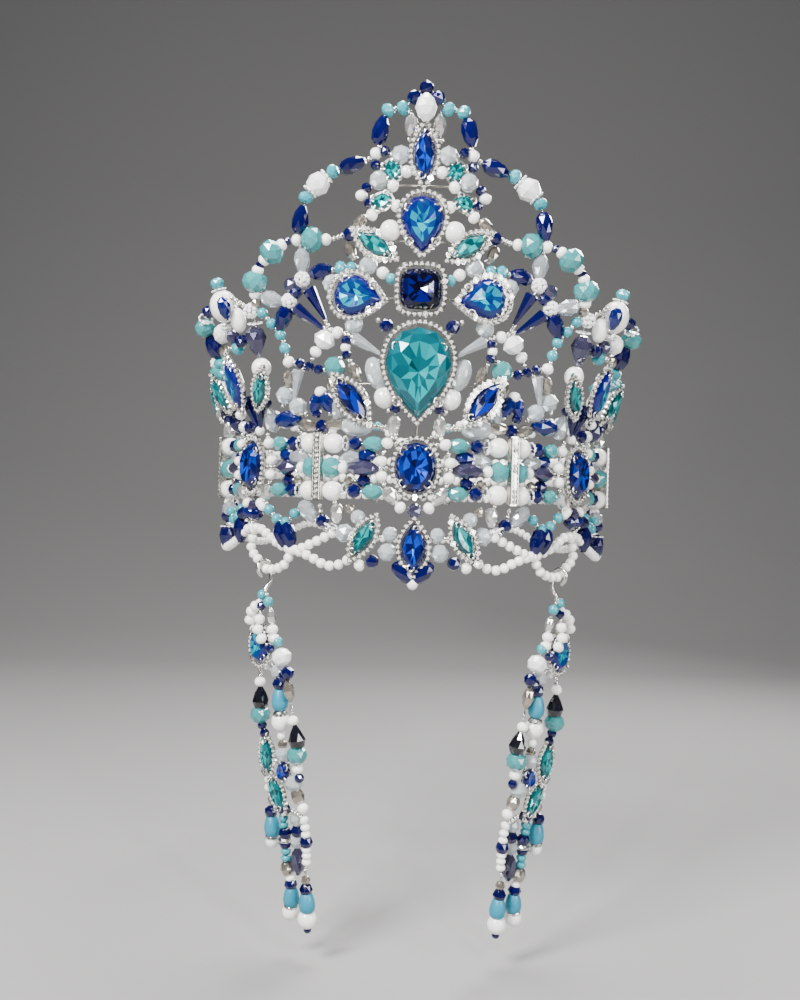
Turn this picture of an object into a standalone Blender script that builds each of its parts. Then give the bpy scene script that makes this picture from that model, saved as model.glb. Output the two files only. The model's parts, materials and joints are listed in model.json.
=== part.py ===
"""A beaded crystal crown: a band of three bead rows with spacer bars and set oval stones, a tall
front crest of arches and stones, small towers round the sides, a rim of bead swags, and two hanging
side pendants. +Z is up and the wearer faces -Y. The origin is the centre of the head opening at the
middle row of the band. Left and right are as seen from the front."""

import math

import bmesh
import bpy
from mathutils import Matrix, Vector

MM = 0.001

# Driving sizes of the crown, in metres.
FRONT_RADIUS = 92 * MM
SIDE_RADIUS = 85.5 * MM
ROW_SPACING = 9.2 * MM
BAY_DEGREES = 24.0
WIRE_RADIUS = 0.5 * MM
GAP = 0.35 * MM
STONE_BACK = WIRE_RADIUS + GAP

# The front leans out a little, the front towers lean out most and the far towers less. Above the
# band the radius grows with height by these slopes, blended between azimuths.
FRONT_LEAN = 0.06
TOWER_LEAN = 0.36
BACK_LEAN = 0.20
LEAN_STARTS_AT = 14 * MM
FRONT_LEAN_WITHIN = 20.0
TOWER_LEAN_FROM = 45.0
TOWER_LEAN_WITHIN = 62.0
BACK_LEAN_FROM = 86.0

# A bead's length along its thread and its diameter, in millimetres.
BEADS = {
    "white4": (4.0, 4.2),
    "white5": (4.3, 5.2),
    "white8": (8.0, 8.0),
    "white9": (8.4, 9.0),
    "milk8": (7.0, 7.0),
    "turquoise4": (4.2, 4.4),
    "turquoise6": (5.0, 6.2),
    "turquoise9": (6.6, 9.2),
    "turquoise_oval": (8.2, 6.4),
    "navy4": (3.6, 4.0),
    "navy6": (5.2, 5.8),
    "navy_drop": (10.0, 6.0),
    "navy_oval": (7.5, 5.0),
    "navy_spike": (15.0, 5.4),
    "clear_drop": (9.6, 6.2),
    "grey_oval": (12.5, 6.4),
    "dark_drop": (11.0, 7.6),
    "rondelle": (2.4, 6.0),
    "fireball": (6.0, 6.4),
    "turquoise_drop": (10.0, 7.0),
    "thread": (3.0, 1.0),
    "white_run": (18.0, 4.8),
    "turquoise_run": (17.0, 4.4),
    "navy_run": (9.0, 4.2),
}
# Beads with a long round middle. A run is several small beads in a row, as one plain length.
FULL_BEADS = {"white8", "white9", "turquoise9", "white_run", "turquoise_run", "navy_run"}

# colour, roughness and metallic value of each finish
FINISHES = {
    "silver": ((0.80, 0.79, 0.77, 1), 0.22, 1.0),
    "beads": ((0.80, 0.83, 0.84, 1), 0.35, 0.0),
    "navy_beads": ((0.02, 0.03, 0.30, 1), 0.12, 0.0),
    "blue_stone": ((0.01, 0.08, 0.55, 1), 0.06, 0.0),
    "teal_stone": ((0.00, 0.50, 0.58, 1), 0.06, 0.0),
}

# Set stones of the front. across is the arc from the centre line, up the height over the middle
# row, and out the stand-off of the setting's back; turn leans the stone's top towards the centre
# (positive) or away, in degrees. Stones with an across are made once on each side.
FRONT_STONES = (
    # name, shape, stone width, stone height, rim, across, up, out, turn, finish
    ("main_pear_stone", "pear", 23.4, 33.6, 3.3, 0.0, 36.4, 0.85, 0, "teal_stone"),
    ("cushion_stone", "cushion", 14.8, 14.8, 2.8, 0.0, 68.0, 0.85, 0, "blue_stone"),
    ("upper_pear_stone", "pear", 14.8, 20.6, 2.7, 0.0, 92.4, 0.85, 0, "blue_stone"),
    ("top_marquise_stone", "navette", 8.0, 19.4, 2.2, 0.0, 118.4, 0.85, 0, "blue_stone"),
    ("teal_leaf_stone", "navette", 7.0, 16.4, 2.0, 17.9, 84.9, 0.85, -56, "teal_stone"),
    ("side_pear_stone", "pear", 14.4, 18.6, 2.7, 23.9, 65.4, 0.85, -80, "blue_stone"),
    ("navy_leaf_stone", "navette", 8.2, 19.4, 2.3, 25.0, 26.0, 2.3, -38, "blue_stone"),
    ("brow_marquise_stone", "navette", 9.4, 18.0, 2.2, 0.0, -31.0, 0.85, 0, "blue_stone"),
    ("brow_teal_stone", "navette", 6.6, 15.8, 2.1, 19.2, -27.4, 0.85, 30, "teal_stone"),
)

OVAL_STONE = (14.4, 18.6, 2.8)
BAR_SIZE = (3.6, 27.0, 3.9)

# Half a bay of each band row, from an oval stone to a spacer bar: where the beads start, and the
# beads in order. Distances are arcs from the oval's centre, in millimetres.
OUTER_ROW = (8.2, ("turquoise_oval", "navy6", "white8"))
MIDDLE_ROW = (14.2, ("grey_oval", "white4", "turquoise6"))
HALF_BAY_END = 36.2

# The towers over the side ovals: azimuth, how tall the upper part is, and whether their stones
# are nodes of their own.
TOWERS = ((48.0, 1.0, True), (96.0, 0.55, False))
TOWER_WAIST_UP = 38.0
TOWER_STONES = (
    # name, stone width, stone height, rim, degrees from the tower's middle, up, turn, finish
    ("blue_leaf_stone", 8.2, 19.6, 2.3, 0.0, 34.6, 0, "blue_stone"),
    ("inner_leaf_stone", 6.2, 15.2, 2.0, -8.9, 31.4, 28, "teal_stone"),
    ("outer_leaf_stone", 6.2, 15.2, 2.0, 8.9, 31.4, -28, "teal_stone"),
)
TOWER_STONE_OUT = 3.6
# One side of a tower's frame, from its foot to its tip: degrees from the middle, up, and out.
TOWER_EDGE = (
    (8.4, 12.8, 0.0),
    (6.0, 25.0, -0.8),
    (7.0, 38.0, -1.0),
    (8.2, 47.0, 0.0),
    (8.8, 55.0, 0.0),
    (5.6, 61.0, 0.0),
    (0.0, 71.5, 0.0),
)
TOWER_EDGE_BEADS = ("navy_run", "white8", "dark_drop", "white9", "white9", "turquoise6")
# The middle stem and the cross rail that carry the stones: degrees, up, out and radius.
TOWER_STEM = ((0, 12.9, 1.6, 0.9), (0, 47.0, 0.8, 0.9), (0, 54.0, 0.6, 3.2), (0, 60.0, 0.4, 0.9),
              (0, 70.0, 0.0, 0.9))
TOWER_RAIL = ((-7.4, 32.0, 0.2, 1.0), (0, 30.6, 1.6, 1.3), (7.4, 32.0, 0.2, 1.0))

PENDANT_AZIMUTH = 42.4


def blend(value, start, end):
    """A smooth step from 0 at start to 1 at end."""
    share = min(1.0, max(0.0, (value - start) / (end - start)))
    return share * share * (3 - 2 * share)


def from_front(azimuth):
    """The angle from the front, 0 to 180 degrees, of any azimuth."""
    return abs((azimuth + 180.0) % 360.0 - 180.0)


def lean_at(azimuth):
    """How fast the crown widens with height at this azimuth."""
    angle = from_front(azimuth)
    rise = blend(angle, FRONT_LEAN_WITHIN, TOWER_LEAN_FROM)
    fall = blend(angle, TOWER_LEAN_WITHIN, BACK_LEAN_FROM)
    return FRONT_LEAN + (TOWER_LEAN - FRONT_LEAN) * rise - (TOWER_LEAN - BACK_LEAN) * fall


def radius_at(azimuth, up):
    """The oval band's radius at this azimuth, widened by the lean at this height."""
    angle = math.radians(azimuth)
    band = 1 / math.hypot(math.sin(angle) / SIDE_RADIUS, math.cos(angle) / FRONT_RADIUS)
    return band + lean_at(azimuth) * max(0.0, up - LEAN_STARTS_AT)


def on_crown(azimuth, up, out=0.0):
    """The point at an azimuth in degrees and a height and stand-off in metres. 0 is the front."""
    radius = radius_at(azimuth, up) + out
    angle = math.radians(azimuth)
    return Vector((radius * math.sin(angle), -radius * math.cos(angle), up))


def azimuth_of(across, up):
    """The azimuth of an arc length from the centre line, at this height of the front."""
    return math.degrees(across / radius_at(0.0, up))


def frame_at(azimuth, up, out=0.0, turn=0.0):
    """A frame on the crown: x along the oval band, y up the surface and z square to it."""
    angle = math.radians(azimuth)
    angle = math.atan2(math.sin(angle) * FRONT_RADIUS ** 2, math.cos(angle) * SIDE_RADIUS ** 2)
    slope = lean_at(azimuth) if up > LEAN_STARTS_AT else 0.0
    along = Vector((math.cos(angle), math.sin(angle), 0))
    upward = Vector((slope * math.sin(angle), -slope * math.cos(angle), 1)).normalized()
    outward = along.cross(upward)
    rotation = Matrix((along, upward, outward)).transposed().to_4x4()
    place = on_crown(azimuth, up) + outward * out
    return Matrix.Translation(place) @ rotation @ Matrix.Rotation(math.radians(turn), 4, "Z")


def finish(name):
    material = bpy.data.materials.get(name)
    if material is None:
        colour, roughness, metallic = FINISHES[name]
        material = bpy.data.materials.new(name)
        material.use_nodes = True
        shader = material.node_tree.nodes["Principled BSDF"]
        shader.inputs["Base Color"].default_value = colour
        shader.inputs["Roughness"].default_value = roughness
        shader.inputs["Metallic"].default_value = metallic
    return material


def new_collection(name, hidden=False):
    collection = bpy.data.collections.new(name)
    bpy.context.scene.collection.children.link(collection)
    collection.hide_render = hidden
    return collection


def add_object(name, data, finish_name, collection):
    made = bpy.data.objects.new(name, data)
    data.materials.append(finish(finish_name))
    collection.objects.link(made)
    return made


# Outlines of the cut stones, as points round the middle. A pear points down.
def outline(shape, width, height, count):
    points = []
    for i in range(count):
        angle = 2 * math.pi * (i + 0.5 * (shape == "cushion")) / count + math.pi / 2
        c, s = math.cos(angle), math.sin(angle)
        if shape == "navette":
            c *= abs(c)
        elif shape == "pear":
            c *= 1.22 * ((1 + s) / 2 + 1e-6) ** 0.62 / (0.72 + 0.5 * (1 + s) / 2)
        elif shape == "cushion":
            c = math.copysign(abs(c) ** 0.55, c)
            s = math.copysign(abs(s) ** 0.55, s)
        points.append((c * width / 2, s * height / 2))
    return points


def loft(rings):
    """A closed mesh through rings that have the same number of points, capped at both ends."""
    mesh = bmesh.new()
    made = [[mesh.verts.new(point) for point in ring] for ring in rings]
    for lower, upper in zip(made, made[1:]):
        for i in range(len(lower)):
            j = (i + 1) % len(lower)
            mesh.faces.new((lower[i], lower[j], upper[j], upper[i]))
    mesh.faces.new(list(reversed(made[0])))
    mesh.faces.new(made[-1])
    bmesh.ops.recalc_face_normals(mesh, faces=mesh.faces)
    return mesh


def set_stone_mesh(shape, width, height, rim, count=12):
    """A cut stone with a table, fused to the rhinestone-edged setting that holds it."""
    rim_height = min(2.4, 0.9 * rim)
    table_height = rim_height + 0.10 * width + 0.6
    # width added, height added, share of the outline, height
    sections = (
        (2 * rim, 2.3 * rim, 1.0, 0.0),
        (2 * rim, 2.3 * rim, 1.0, rim_height),
        (0.0, 0.0, 1.0, rim_height + 0.2),
        (0.0, 0.0, 0.58, table_height),
    )
    rings = []
    for wider, taller, share, level in sections:
        flat = outline(shape, width + wider, height + taller, count)
        rings.append([Vector((x * share, y * share, level)) * MM for x, y in flat])
    return loft(rings)


def add_set_stone(name, shape, size, place, finish_name, collection, count=12):
    width, height, rim = size
    mesh = set_stone_mesh(shape, width, height, rim, count)
    mesh.transform(place)
    data = bpy.data.meshes.new(name)
    mesh.to_mesh(data)
    mesh.free()
    return add_object(name, data, finish_name, collection)


def smooth_path(points, steps=12, closed=False):
    """A smooth curve through the points, as many short straight steps."""
    count = len(points)
    path = []
    for i in range(count if closed else count - 1):
        if closed:
            p0, p1, p2, p3 = (points[(i + k) % count] for k in (-1, 0, 1, 2))
        else:
            p0, p1, p2, p3 = (points[min(count - 1, max(0, i + k))] for k in (-1, 0, 1, 2))
        for step in range(steps):
            t = step / steps
            path.append(
                0.5 * (2 * p1 + (p2 - p0) * t + (2 * p0 - 5 * p1 + 4 * p2 - p3) * t * t
                       + (3 * p1 - p0 - 3 * p2 + p3) * t ** 3)
            )
    if not closed:
        path.append(points[-1].copy())
    return path


def point_along(path, distance):
    """The point at this distance along a path of straight steps."""
    for start, end in zip(path, path[1:]):
        length = (end - start).length
        if distance <= length:
            return start.lerp(end, distance / length)
        distance -= length
    return path[-1].copy()


def path_length(path):
    return sum((b - a).length for a, b in zip(path, path[1:]))


def bead_sections(beads, length):
    """Distances and radii of a string's rings when these beads fill its length, in metres."""
    sizes = [BEADS[bead] for bead in beads]
    share = length / sum(size[0] * MM for size in sizes)
    sections = [(0.0, WIRE_RADIUS)]
    start = 0.0
    for bead, (bead_length, diameter) in zip(beads, sizes):
        long, radius = bead_length * MM * share, diameter * MM / 2
        shoulder = min(0.25 * long, 1.6 * MM)
        if bead in FULL_BEADS:
            sections += [(start + shoulder, radius), (start + long - shoulder, radius)]
        elif bead != "thread":
            sections.append((start + 0.5 * long, radius))
        start += long
        sections.append((start, WIRE_RADIUS * 1.2))
    return sections


def add_tube(name, rings, finish_name, collection, closed=False, sides=8):
    """A round tube through points, each with its own radius."""
    data = bpy.data.curves.new(name, "CURVE")
    data.dimensions = "3D"
    data.bevel_depth = MM
    data.bevel_resolution = (sides - 4) // 2
    data.use_fill_caps = True
    spline = data.splines.new("POLY")
    spline.points.add(len(rings) - 1)
    for point, (place, radius) in zip(spline.points, rings):
        point.co = (*place, 1)
        point.radius = radius / MM
    spline.use_cyclic_u = closed
    return add_object(name, data, finish_name, collection)


def add_string(name, points, beads, finish_name, collection, sides=8):
    """Beads threaded on a smooth curve through the points, fused to their thread."""
    path = smooth_path(points)
    rings = [(point_along(path, at), radius) for at, radius in bead_sections(beads, path_length(path))]
    return add_tube(name, rings, finish_name, collection, sides=sides)


def add_cord(name, points, radius, finish_name, collection, sides=8):
    """A plain round string of small beads, as one tube of the beads' diameter."""
    return add_tube(name, [(p, radius) for p in points], finish_name, collection, sides=sides)


def add_ball(name, place, radius, finish_name, collection, segments=8, rings=4):
    mesh = bmesh.new()
    bmesh.ops.create_uvsphere(mesh, u_segments=segments, v_segments=rings, radius=radius)
    mesh.transform(Matrix.Translation(place))
    data = bpy.data.meshes.new(name)
    mesh.to_mesh(data)
    mesh.free()
    return add_object(name, data, finish_name, collection)


def as_mesh(piece, collection):
    """The evaluated mesh of a piece as a new object, its caps welded. The piece is removed."""
    graph = bpy.context.evaluated_depsgraph_get()
    data = bpy.data.meshes.new_from_object(piece.evaluated_get(graph))
    mesh = bmesh.new()
    mesh.from_mesh(data)
    bmesh.ops.remove_doubles(mesh, verts=mesh.verts, dist=0.001 * MM)
    bmesh.ops.recalc_face_normals(mesh, faces=mesh.faces)
    mesh.to_mesh(data)
    mesh.free()
    made = bpy.data.objects.new(piece.name + "_solid", data)
    made.matrix_world = piece.matrix_world
    collection.objects.link(made)
    bpy.data.objects.remove(piece)
    return made


def fuse(name, pieces, collection):
    """Joins pieces that overlap into one body, as soldered or sewn beadwork is."""
    bpy.context.view_layer.update()
    others = bpy.data.collections.new(name + "_pieces")
    helpers.children.link(others)
    solids = [as_mesh(piece, others) for piece in pieces]
    body = solids[0]
    others.objects.unlink(body)
    collection.objects.link(body)
    body.name = name
    for other in solids[1:]:
        other.hide_render = True
        other.display_type = "WIRE"
    union = body.modifiers.new("union", "BOOLEAN")
    union.operation = "UNION"
    union.operand_type = "COLLECTION"
    union.collection = others
    union.solver = "EXACT"
    return body


def side_name(side):
    return "left" if side < 0 else "right"


def route(rows, side=1, middle=0.0):
    """Points on the crown from rows of degrees, up and out, mirrored to one side of a middle."""
    return [on_crown(middle + side * row[0], row[1] * MM, row[2] * MM) for row in rows]


# The band: three rows threaded through every bay, the bars that space them and the oval stones.
def row_sections(start, beads):
    """Arc distances and radii of half a bay of a row, from its oval to its bar."""
    scale = (HALF_BAY_END - start) / sum(BEADS[bead][0] for bead in beads)
    rings = [(start, WIRE_RADIUS)]
    for bead in beads:
        long = BEADS[bead][0] * scale
        rings.append((start + 0.5 * long, BEADS[bead][1] * MM / 2))
        start += long
    rings.append((start, WIRE_RADIUS))
    return rings


def add_band_row(name, up, start, beads, collection):
    """One ring of the band. Round the back, past the second side ovals, it is a plain length that
    runs behind the bars and ovals."""
    half_bay = math.radians(BAY_DEGREES) * FRONT_RADIUS / MM
    half = row_sections(start, beads)
    beaded_half_bays = 4
    rings = []
    for bay in range(beaded_half_bays):
        sections = half if bay % 2 == 0 else [(half_bay - at, r) for at, r in reversed(half)]
        for at, radius in sections:
            rings.append((BAY_DEGREES * (bay + at / half_bay), radius, 0.0))
    rings = [(-degrees, radius, out) for degrees, radius, out in reversed(rings)] + rings
    back_radius, back_out = 2.6 * MM, -2.0 * MM
    for degrees in (103, 120, 144, 168, 192, 216, 240, 257):
        rings.append((degrees, back_radius, back_out))
    placed = [(on_crown(degrees, up, out), radius) for degrees, radius, out in rings]
    return add_tube(name, placed, "beads", collection, closed=True)


def add_spacer_bar(name, azimuth, collection):
    """A narrow bar with a flat jewelled face, standing in front of the three threads."""
    width, height, depth = (size * MM for size in BAR_SIZE)
    mesh = bmesh.new()
    bmesh.ops.create_cube(mesh, size=1)
    mesh.transform(Matrix.Diagonal((width, height, depth, 1)))
    mesh.transform(frame_at(azimuth, 0.0, STONE_BACK + depth / 2))
    data = bpy.data.meshes.new(name)
    mesh.to_mesh(data)
    mesh.free()
    return add_object(name, data, "silver", collection)


def add_band(collection):
    add_band_row("band_row_top", ROW_SPACING, *OUTER_ROW, collection)
    add_band_row("band_row_middle", 0.0, *MIDDLE_ROW, collection)
    add_band_row("band_row_bottom", -ROW_SPACING, *OUTER_ROW, collection)
    for side in (-1, 1):
        for bay in (1, 3, 5, 7):
            name = f"spacer_bar_{side_name(side)}_{(bay + 1) // 2}"
            add_spacer_bar(name, side * bay * BAY_DEGREES, collection)
        for bay in (2, 4, 6):
            name = f"band_oval_{side_name(side)}_{bay // 2}"
            place = frame_at(side * bay * BAY_DEGREES, 0.0, STONE_BACK)
            add_set_stone(name, "oval", OVAL_STONE, place, "blue_stone", collection)
    add_set_stone(
        "band_oval_front", "oval", OVAL_STONE, frame_at(0.0, 0.0, STONE_BACK), "blue_stone", collection
    )


# The front: a wire skeleton, the stones in front of it, and the strings that arch over them.
def add_front_wire(collection):
    """The upright and the cross wires that the front stones are tied to."""
    upright = [on_crown(0.0, level * MM) for level in (10.1, 141.4)]
    pieces = [add_cord("upright", upright, WIRE_RADIUS, "silver", collection, 4)]
    # height, half width in degrees
    for level, reach in ((64.6, 17.5), (86.0, 13.6), (32.0, 16.6), (107.0, 6.4)):
        across = [on_crown(a, level * MM) for a in (-reach, -reach / 2, 0.0, reach / 2, reach)]
        pieces.append(add_cord("cross", across, 0.94 * WIRE_RADIUS, "silver", collection, 4))
    fuse("front_wire", pieces, collection)


def add_front_stones(collection):
    for name, shape, width, height, rim, across, up, out, turn, finish_name in FRONT_STONES:
        sides = (-1, 1) if across else (1,)
        for side in sides:
            azimuth = side * azimuth_of(across * MM, up * MM)
            place = frame_at(azimuth, up * MM, out * MM, side * turn)
            full_name = f"{name}_{side_name(side)}" if across else name
            count = 12 if width > 12 else 10
            size = (width, height, rim)
            add_set_stone(full_name, shape, size, place, finish_name, collection, count)


def add_crest_arch(collection):
    """The outer arch of the crest, from one shoulder over the top to the other."""
    half = (
        (28.2, 90.6, 0), (27.8, 95.6, 0), (26.8, 103.0, 0), (24.2, 108.8, 0), (21.1, 113.2, 0),
        (16.3, 115.6, 0), (11.6, 118.2, 0), (10.3, 123.5, 0), (9.9, 129.0, 0), (9.3, 133.6, 0),
        (7.2, 135.8, 0), (4.6, 136.8, 0), (2.9, 140.6, 0), (0.0, 145.0, 0),
    )
    beads = (
        "navy_drop", "turquoise6", "white9", "turquoise6", "navy_drop", "navy_drop",
        "turquoise6", "turquoise6", "navy4", "navy6",
    )
    points = route(half, -1) + list(reversed(route(half[:-1], 1)))
    add_string("crest_arch", points, beads + beads[-2::-1], "beads", collection)


def add_crest_bead(collection):
    """The white faceted bead under the crest's tip, on the head of the upright wire."""
    place = on_crown(0.0, 134.6 * MM, 4.9 * MM)
    made = add_ball("crest_bead", Vector(), 4.6 * MM, "beads", collection)
    made.data.transform(Matrix.Translation(place) @ Matrix.Diagonal((0.88, 0.8, 1.0, 1)))


def add_shoulder_arch(side, collection):
    """The arch that comes out from beside the upper pear and curls down to the tower and back."""
    rows = (
        (15.0, 90.8, 0), (17.9, 90.4, 0), (22.8, 87.6, 0), (25.8, 87.7, 0), (28.8, 87.3, 0),
        (31.4, 85.4, 0), (33.3, 82.4, 0), (34.9, 79.2, 0), (36.4, 75.4, 0), (37.2, 71.4, 0),
        (36.8, 66.0, 0), (35.9, 60.6, 0), (34.8, 56.0, 0), (33.0, 51.4, 0), (32.4, 46.0, 0),
        (31.5, 41.6, 0), (28.7, 39.6, 0), (24.8, 38.6, 0), (20.6, 38.0, 0),
    )
    beads = (
        "thread", "navy6", "turquoise9", "white5", "navy4", "white5", "turquoise9", "white5",
        "navy4", "white5", "turquoise9", "white5", "turquoise_run", "white4", "navy_run", "turquoise9",
    )
    name = f"shoulder_arch_{side_name(side)}"
    add_string(name, route(rows, side), beads, "beads", collection)


def add_fan(side, collection):
    """The two navy spikes and the strings that meet at their point, inside the shoulder arch."""
    joint = (22.2, 53.3, 0)
    upper_ball, lower_ball = (27.6, 72.2, 0), (30.4, 63.8, 0)
    strings = (
        ((joint, upper_ball, (27.7, 80.6, 0)), ("navy_spike", "fireball", "clear_drop")),
        ((joint, lower_ball), ("navy_spike", "fireball")),
        ((upper_ball, (23.8, 74.6, 0), (20.8, 74.2, 0)), ("thread", "navy_oval")),
        ((joint, (19.4, 51.6, 0), (17.8, 49.4, 0), (17.6, 43.4, 0)), ("white5", "navy4", "navy4")),
        ((joint, (23.0, 49.4, 0), (23.6, 43.3, 0)), ("white8",)),
    )
    pieces = [add_ball("joint", route([joint], side)[0], 1.5 * MM, "silver", collection, 6)]
    for rows, beads in strings:
        pieces.append(add_string("string", route(rows, side), beads, "beads", collection))
    fuse(f"fan_{side_name(side)}", pieces, collection)


def add_garland(side, collection):
    """The string of drops between the band and the shoulder arch, with its risers."""
    base = (
        (5.4, 16.8, -0.65), (10.2, 16.8, -0.65), (15.6, 16.7, -0.65), (20.4, 16.6, 0),
        (26.3, 16.6, 0), (32.2, 17.0, 0), (37.4, 18.0, 0),
    )
    beads = ("thread", "milk8", "clear_drop", "navy6", "clear_drop", "navy_drop")
    risers = (
        (((23.6, 16.8, 0), (25.3, 27.6, 0), (26.0, 34.0, 0)), ("navy_drop", "white5")),
        (((32.2, 17.2, 0), (30.4, 26.0, 0), (29.5, 36.9, 0)), ("milk8", "clear_drop")),
    )
    pieces = [add_string("base", route(base, side), beads, "beads", collection)]
    for rows, riser_beads in risers:
        pieces.append(add_string("riser", route(rows, side), riser_beads, "beads", collection))
    fuse(f"garland_{side_name(side)}", pieces, collection)


def add_crest_cluster(side, collection):
    """The two small set ovals beside the top marquise, with the beads sewn round them."""
    # shape size, across, up, turn
    stones = (((6.4, 8.0, 0.8), 11.9, 112.4, -25), ((6.0, 7.8, 0.8), 15.6, 101.0, 70))
    beads = (((9.9, 118.4), 2.9), ((16.9, 107.4), 3.0))
    pieces = []
    for size, across, up, turn in stones:
        place = frame_at(side * azimuth_of(across * MM, up * MM), up * MM, STONE_BACK, side * turn)
        pieces.append(add_set_stone("oval", "oval", size, place, "teal_stone", collection, 10))
    for (across, up), radius in beads:
        place = on_crown(side * azimuth_of(across * MM, up * MM), up * MM, 2.4 * MM)
        pieces.append(add_ball("bead", place, radius * MM, "beads", collection))
    # across, up
    thread = ((9.9, 118.4), (11.9, 112.0), (16.6, 107.2), (15.6, 101.0))
    rows = [(azimuth_of(a * MM, u * MM), u, 2.2) for a, u in thread]
    pieces.append(add_cord("thread", route(rows, side), 0.9 * MM, "beads", collection, 4))
    fuse(f"crest_cluster_{side_name(side)}", pieces, collection)


# The towers over the side ovals.
def tower_stone_place(middle, side, degrees, up, turn):
    azimuth = side * (middle + degrees)
    return frame_at(azimuth, up * MM, TOWER_STONE_OUT * MM, side * turn)


def tower_level(up, height_share):
    """A height on a tower whose part above the waist is this share of the tallest one's."""
    return up if up <= TOWER_WAIST_UP else TOWER_WAIST_UP + height_share * (up - TOWER_WAIST_UP)


def add_tower(middle, height_share, own_stones, side, collection):
    """An arched frame of beads with three leaf stones. The far towers are one fused field."""
    number = round(middle / (2 * BAY_DEGREES))
    centre = side * middle
    rows = [(degrees, tower_level(up, height_share), out) for degrees, up, out in TOWER_EDGE]
    edge = route(rows, -1, centre) + list(reversed(route(rows[:-1], 1, centre)))
    beads = TOWER_EDGE_BEADS + TOWER_EDGE_BEADS[-2::-1]
    if own_stones:
        pieces = [add_string("frame", edge, beads, "beads", collection)]
    else:
        pieces = [add_cord("frame", edge, 3.0 * MM, "beads", collection, 6)]
    for rows, strand in ((TOWER_STEM, "stem"), (TOWER_RAIL, "rail")):
        rings = []
        for degrees, up, out, radius in rows:
            level = tower_level(up, height_share)
            rings.append((on_crown(centre + degrees, level * MM, out * MM), radius * MM))
        pieces.append(add_tube(strand, rings, "silver", collection, sides=4))
    for stone, width, height, rim, degrees, up, turn, finish_name in TOWER_STONES:
        place = tower_stone_place(middle, side, degrees, up, turn)
        size = (width, height, rim)
        if own_stones:
            stone_name = f"tower_{stone}_{side_name(side)}"
            add_set_stone(stone_name, "navette", size, place, finish_name, collection, 10)
        else:
            sunk = place @ Matrix.Translation((0, 0, -1.8 * MM))
            leaf = add_set_stone("leaf", "navette", size, sunk, finish_name, collection, 8)
            pieces.append(leaf)
    fuse(f"tower_frame_{side_name(side)}_{number}", pieces, collection)


def add_back_scallop(collection):
    """The plain low scallops that close the crown round the back, between the far towers."""
    foot, crest = 15.1, 30.4
    rows = []
    scallops = 4
    start, end = 109.0, 251.0
    steps = 4
    for i in range(scallops * steps + 1):
        share = abs(math.sin(math.pi * i / steps))
        degrees = start + (end - start) * i / (scallops * steps)
        rows.append((degrees, foot + (crest - foot) * share, 0))
    add_cord("back_scallops", route(rows), 2.3 * MM, "beads", collection)


# The rim: the brow string, the bead swags below the band and the drops that tie them to it.
def add_rim(collection):
    white, thin = 2.1 * MM, 0.9 * MM
    brow = [on_crown(a, -27.0 * MM) for a in (-20, -10, 0, 10, 20)]
    pieces = [add_cord("brow", brow, WIRE_RADIUS, "silver", collection, 4)]
    upper = (
        (20.2, -26.8, -0.6), (27.0, -31.0, 0), (32.5, -33.4, 0), (39.6, -29.4, 0), (45.0, -25.6, 0),
        (51.0, -25.8, 0), (60.0, -31.6, 0), (72.0, -35.0, 0), (84.0, -31.6, 0), (96.0, -25.4, 0),
        (108.0, -31.6, 0), (120.0, -34.6, 0), (132.0, -31.6, 0), (144.0, -25.4, 0), (158.0, -31.6, 0),
        (180.0, -33.6, 0),
    )
    lower = (
        (15.4, -37.6, -1.8), (17.4, -39.0, -1.6), (20.8, -39.4, 0), (26.0, -37.0, 0), (32.5, -33.4, 0),
        (34.2, -38.0, 0), (37.8, -41.9, 0), (42.4, -41.7, 0), (46.4, -38.0, 0), (49.2, -34.6, 0),
        (49.2, -30.6, 0), (48.0, -25.9, 0),
    )
    # degrees, foot, head and greatest radius of each drop that ties the rim to the band
    ties = ((20.2, -27.4, -14.6, 2.6), (31.4, -32.4, -14.6, 3.0), (42.0, -27.6, -14.6, 2.6),
            (54.0, -27.6, -14.6, 2.6), (72.0, -34.4, -14.9, 3.0), (96.0, -25.8, -13.4, 2.6))
    for side in (-1, 1):
        pieces.append(add_cord("upper", route(upper, side), white, "beads", collection, 6))
        pieces.append(add_cord("lower", route(lower, side), 0.97 * white, "beads", collection, 6))
        foot = ((14.0, -27.0, 0.0), (15.4, -37.6, -1.8))
        pieces.append(add_cord("foot", route(foot, side), 0.45 * MM, "silver", collection, 4))
        for degrees, low, high, radius in ties:
            ends = [on_crown(side * degrees, level * MM) for level in (low, high)]
            middle = ends[0].lerp(ends[1], 0.4)
            rings = [(ends[0], thin), (middle, radius * MM), (ends[1], thin)]
            pieces.append(add_tube("tie", rings, "navy_beads", collection, sides=4))
    centre = [on_crown(0.0, level * MM) for level in (-27.0, -14.0)]
    pieces.append(add_cord("centre", centre, 0.45 * MM, "silver", collection, 4))
    fuse("rim_swags", pieces, collection)


# The side pendants, each on a wire hook round a bead swag.
def pendant_route(side, rows):
    """Points of a pendant from rows of sideways, up and out, in millimetres. It hangs from the
    hook's azimuth and draws in towards the neck as it goes down."""
    head = -44.0
    drop_in, drop_forward = 0.115, 0.062
    points = []
    for sideways, up, out in rows:
        below = (head - up) * MM
        azimuth = PENDANT_AZIMUTH - math.degrees(drop_forward * below / FRONT_RADIUS)
        frame = frame_at(side * azimuth, up * MM, out * MM - drop_in * below)
        points.append(frame @ Vector((side * sideways * MM, 0, 0)))
    return points


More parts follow.
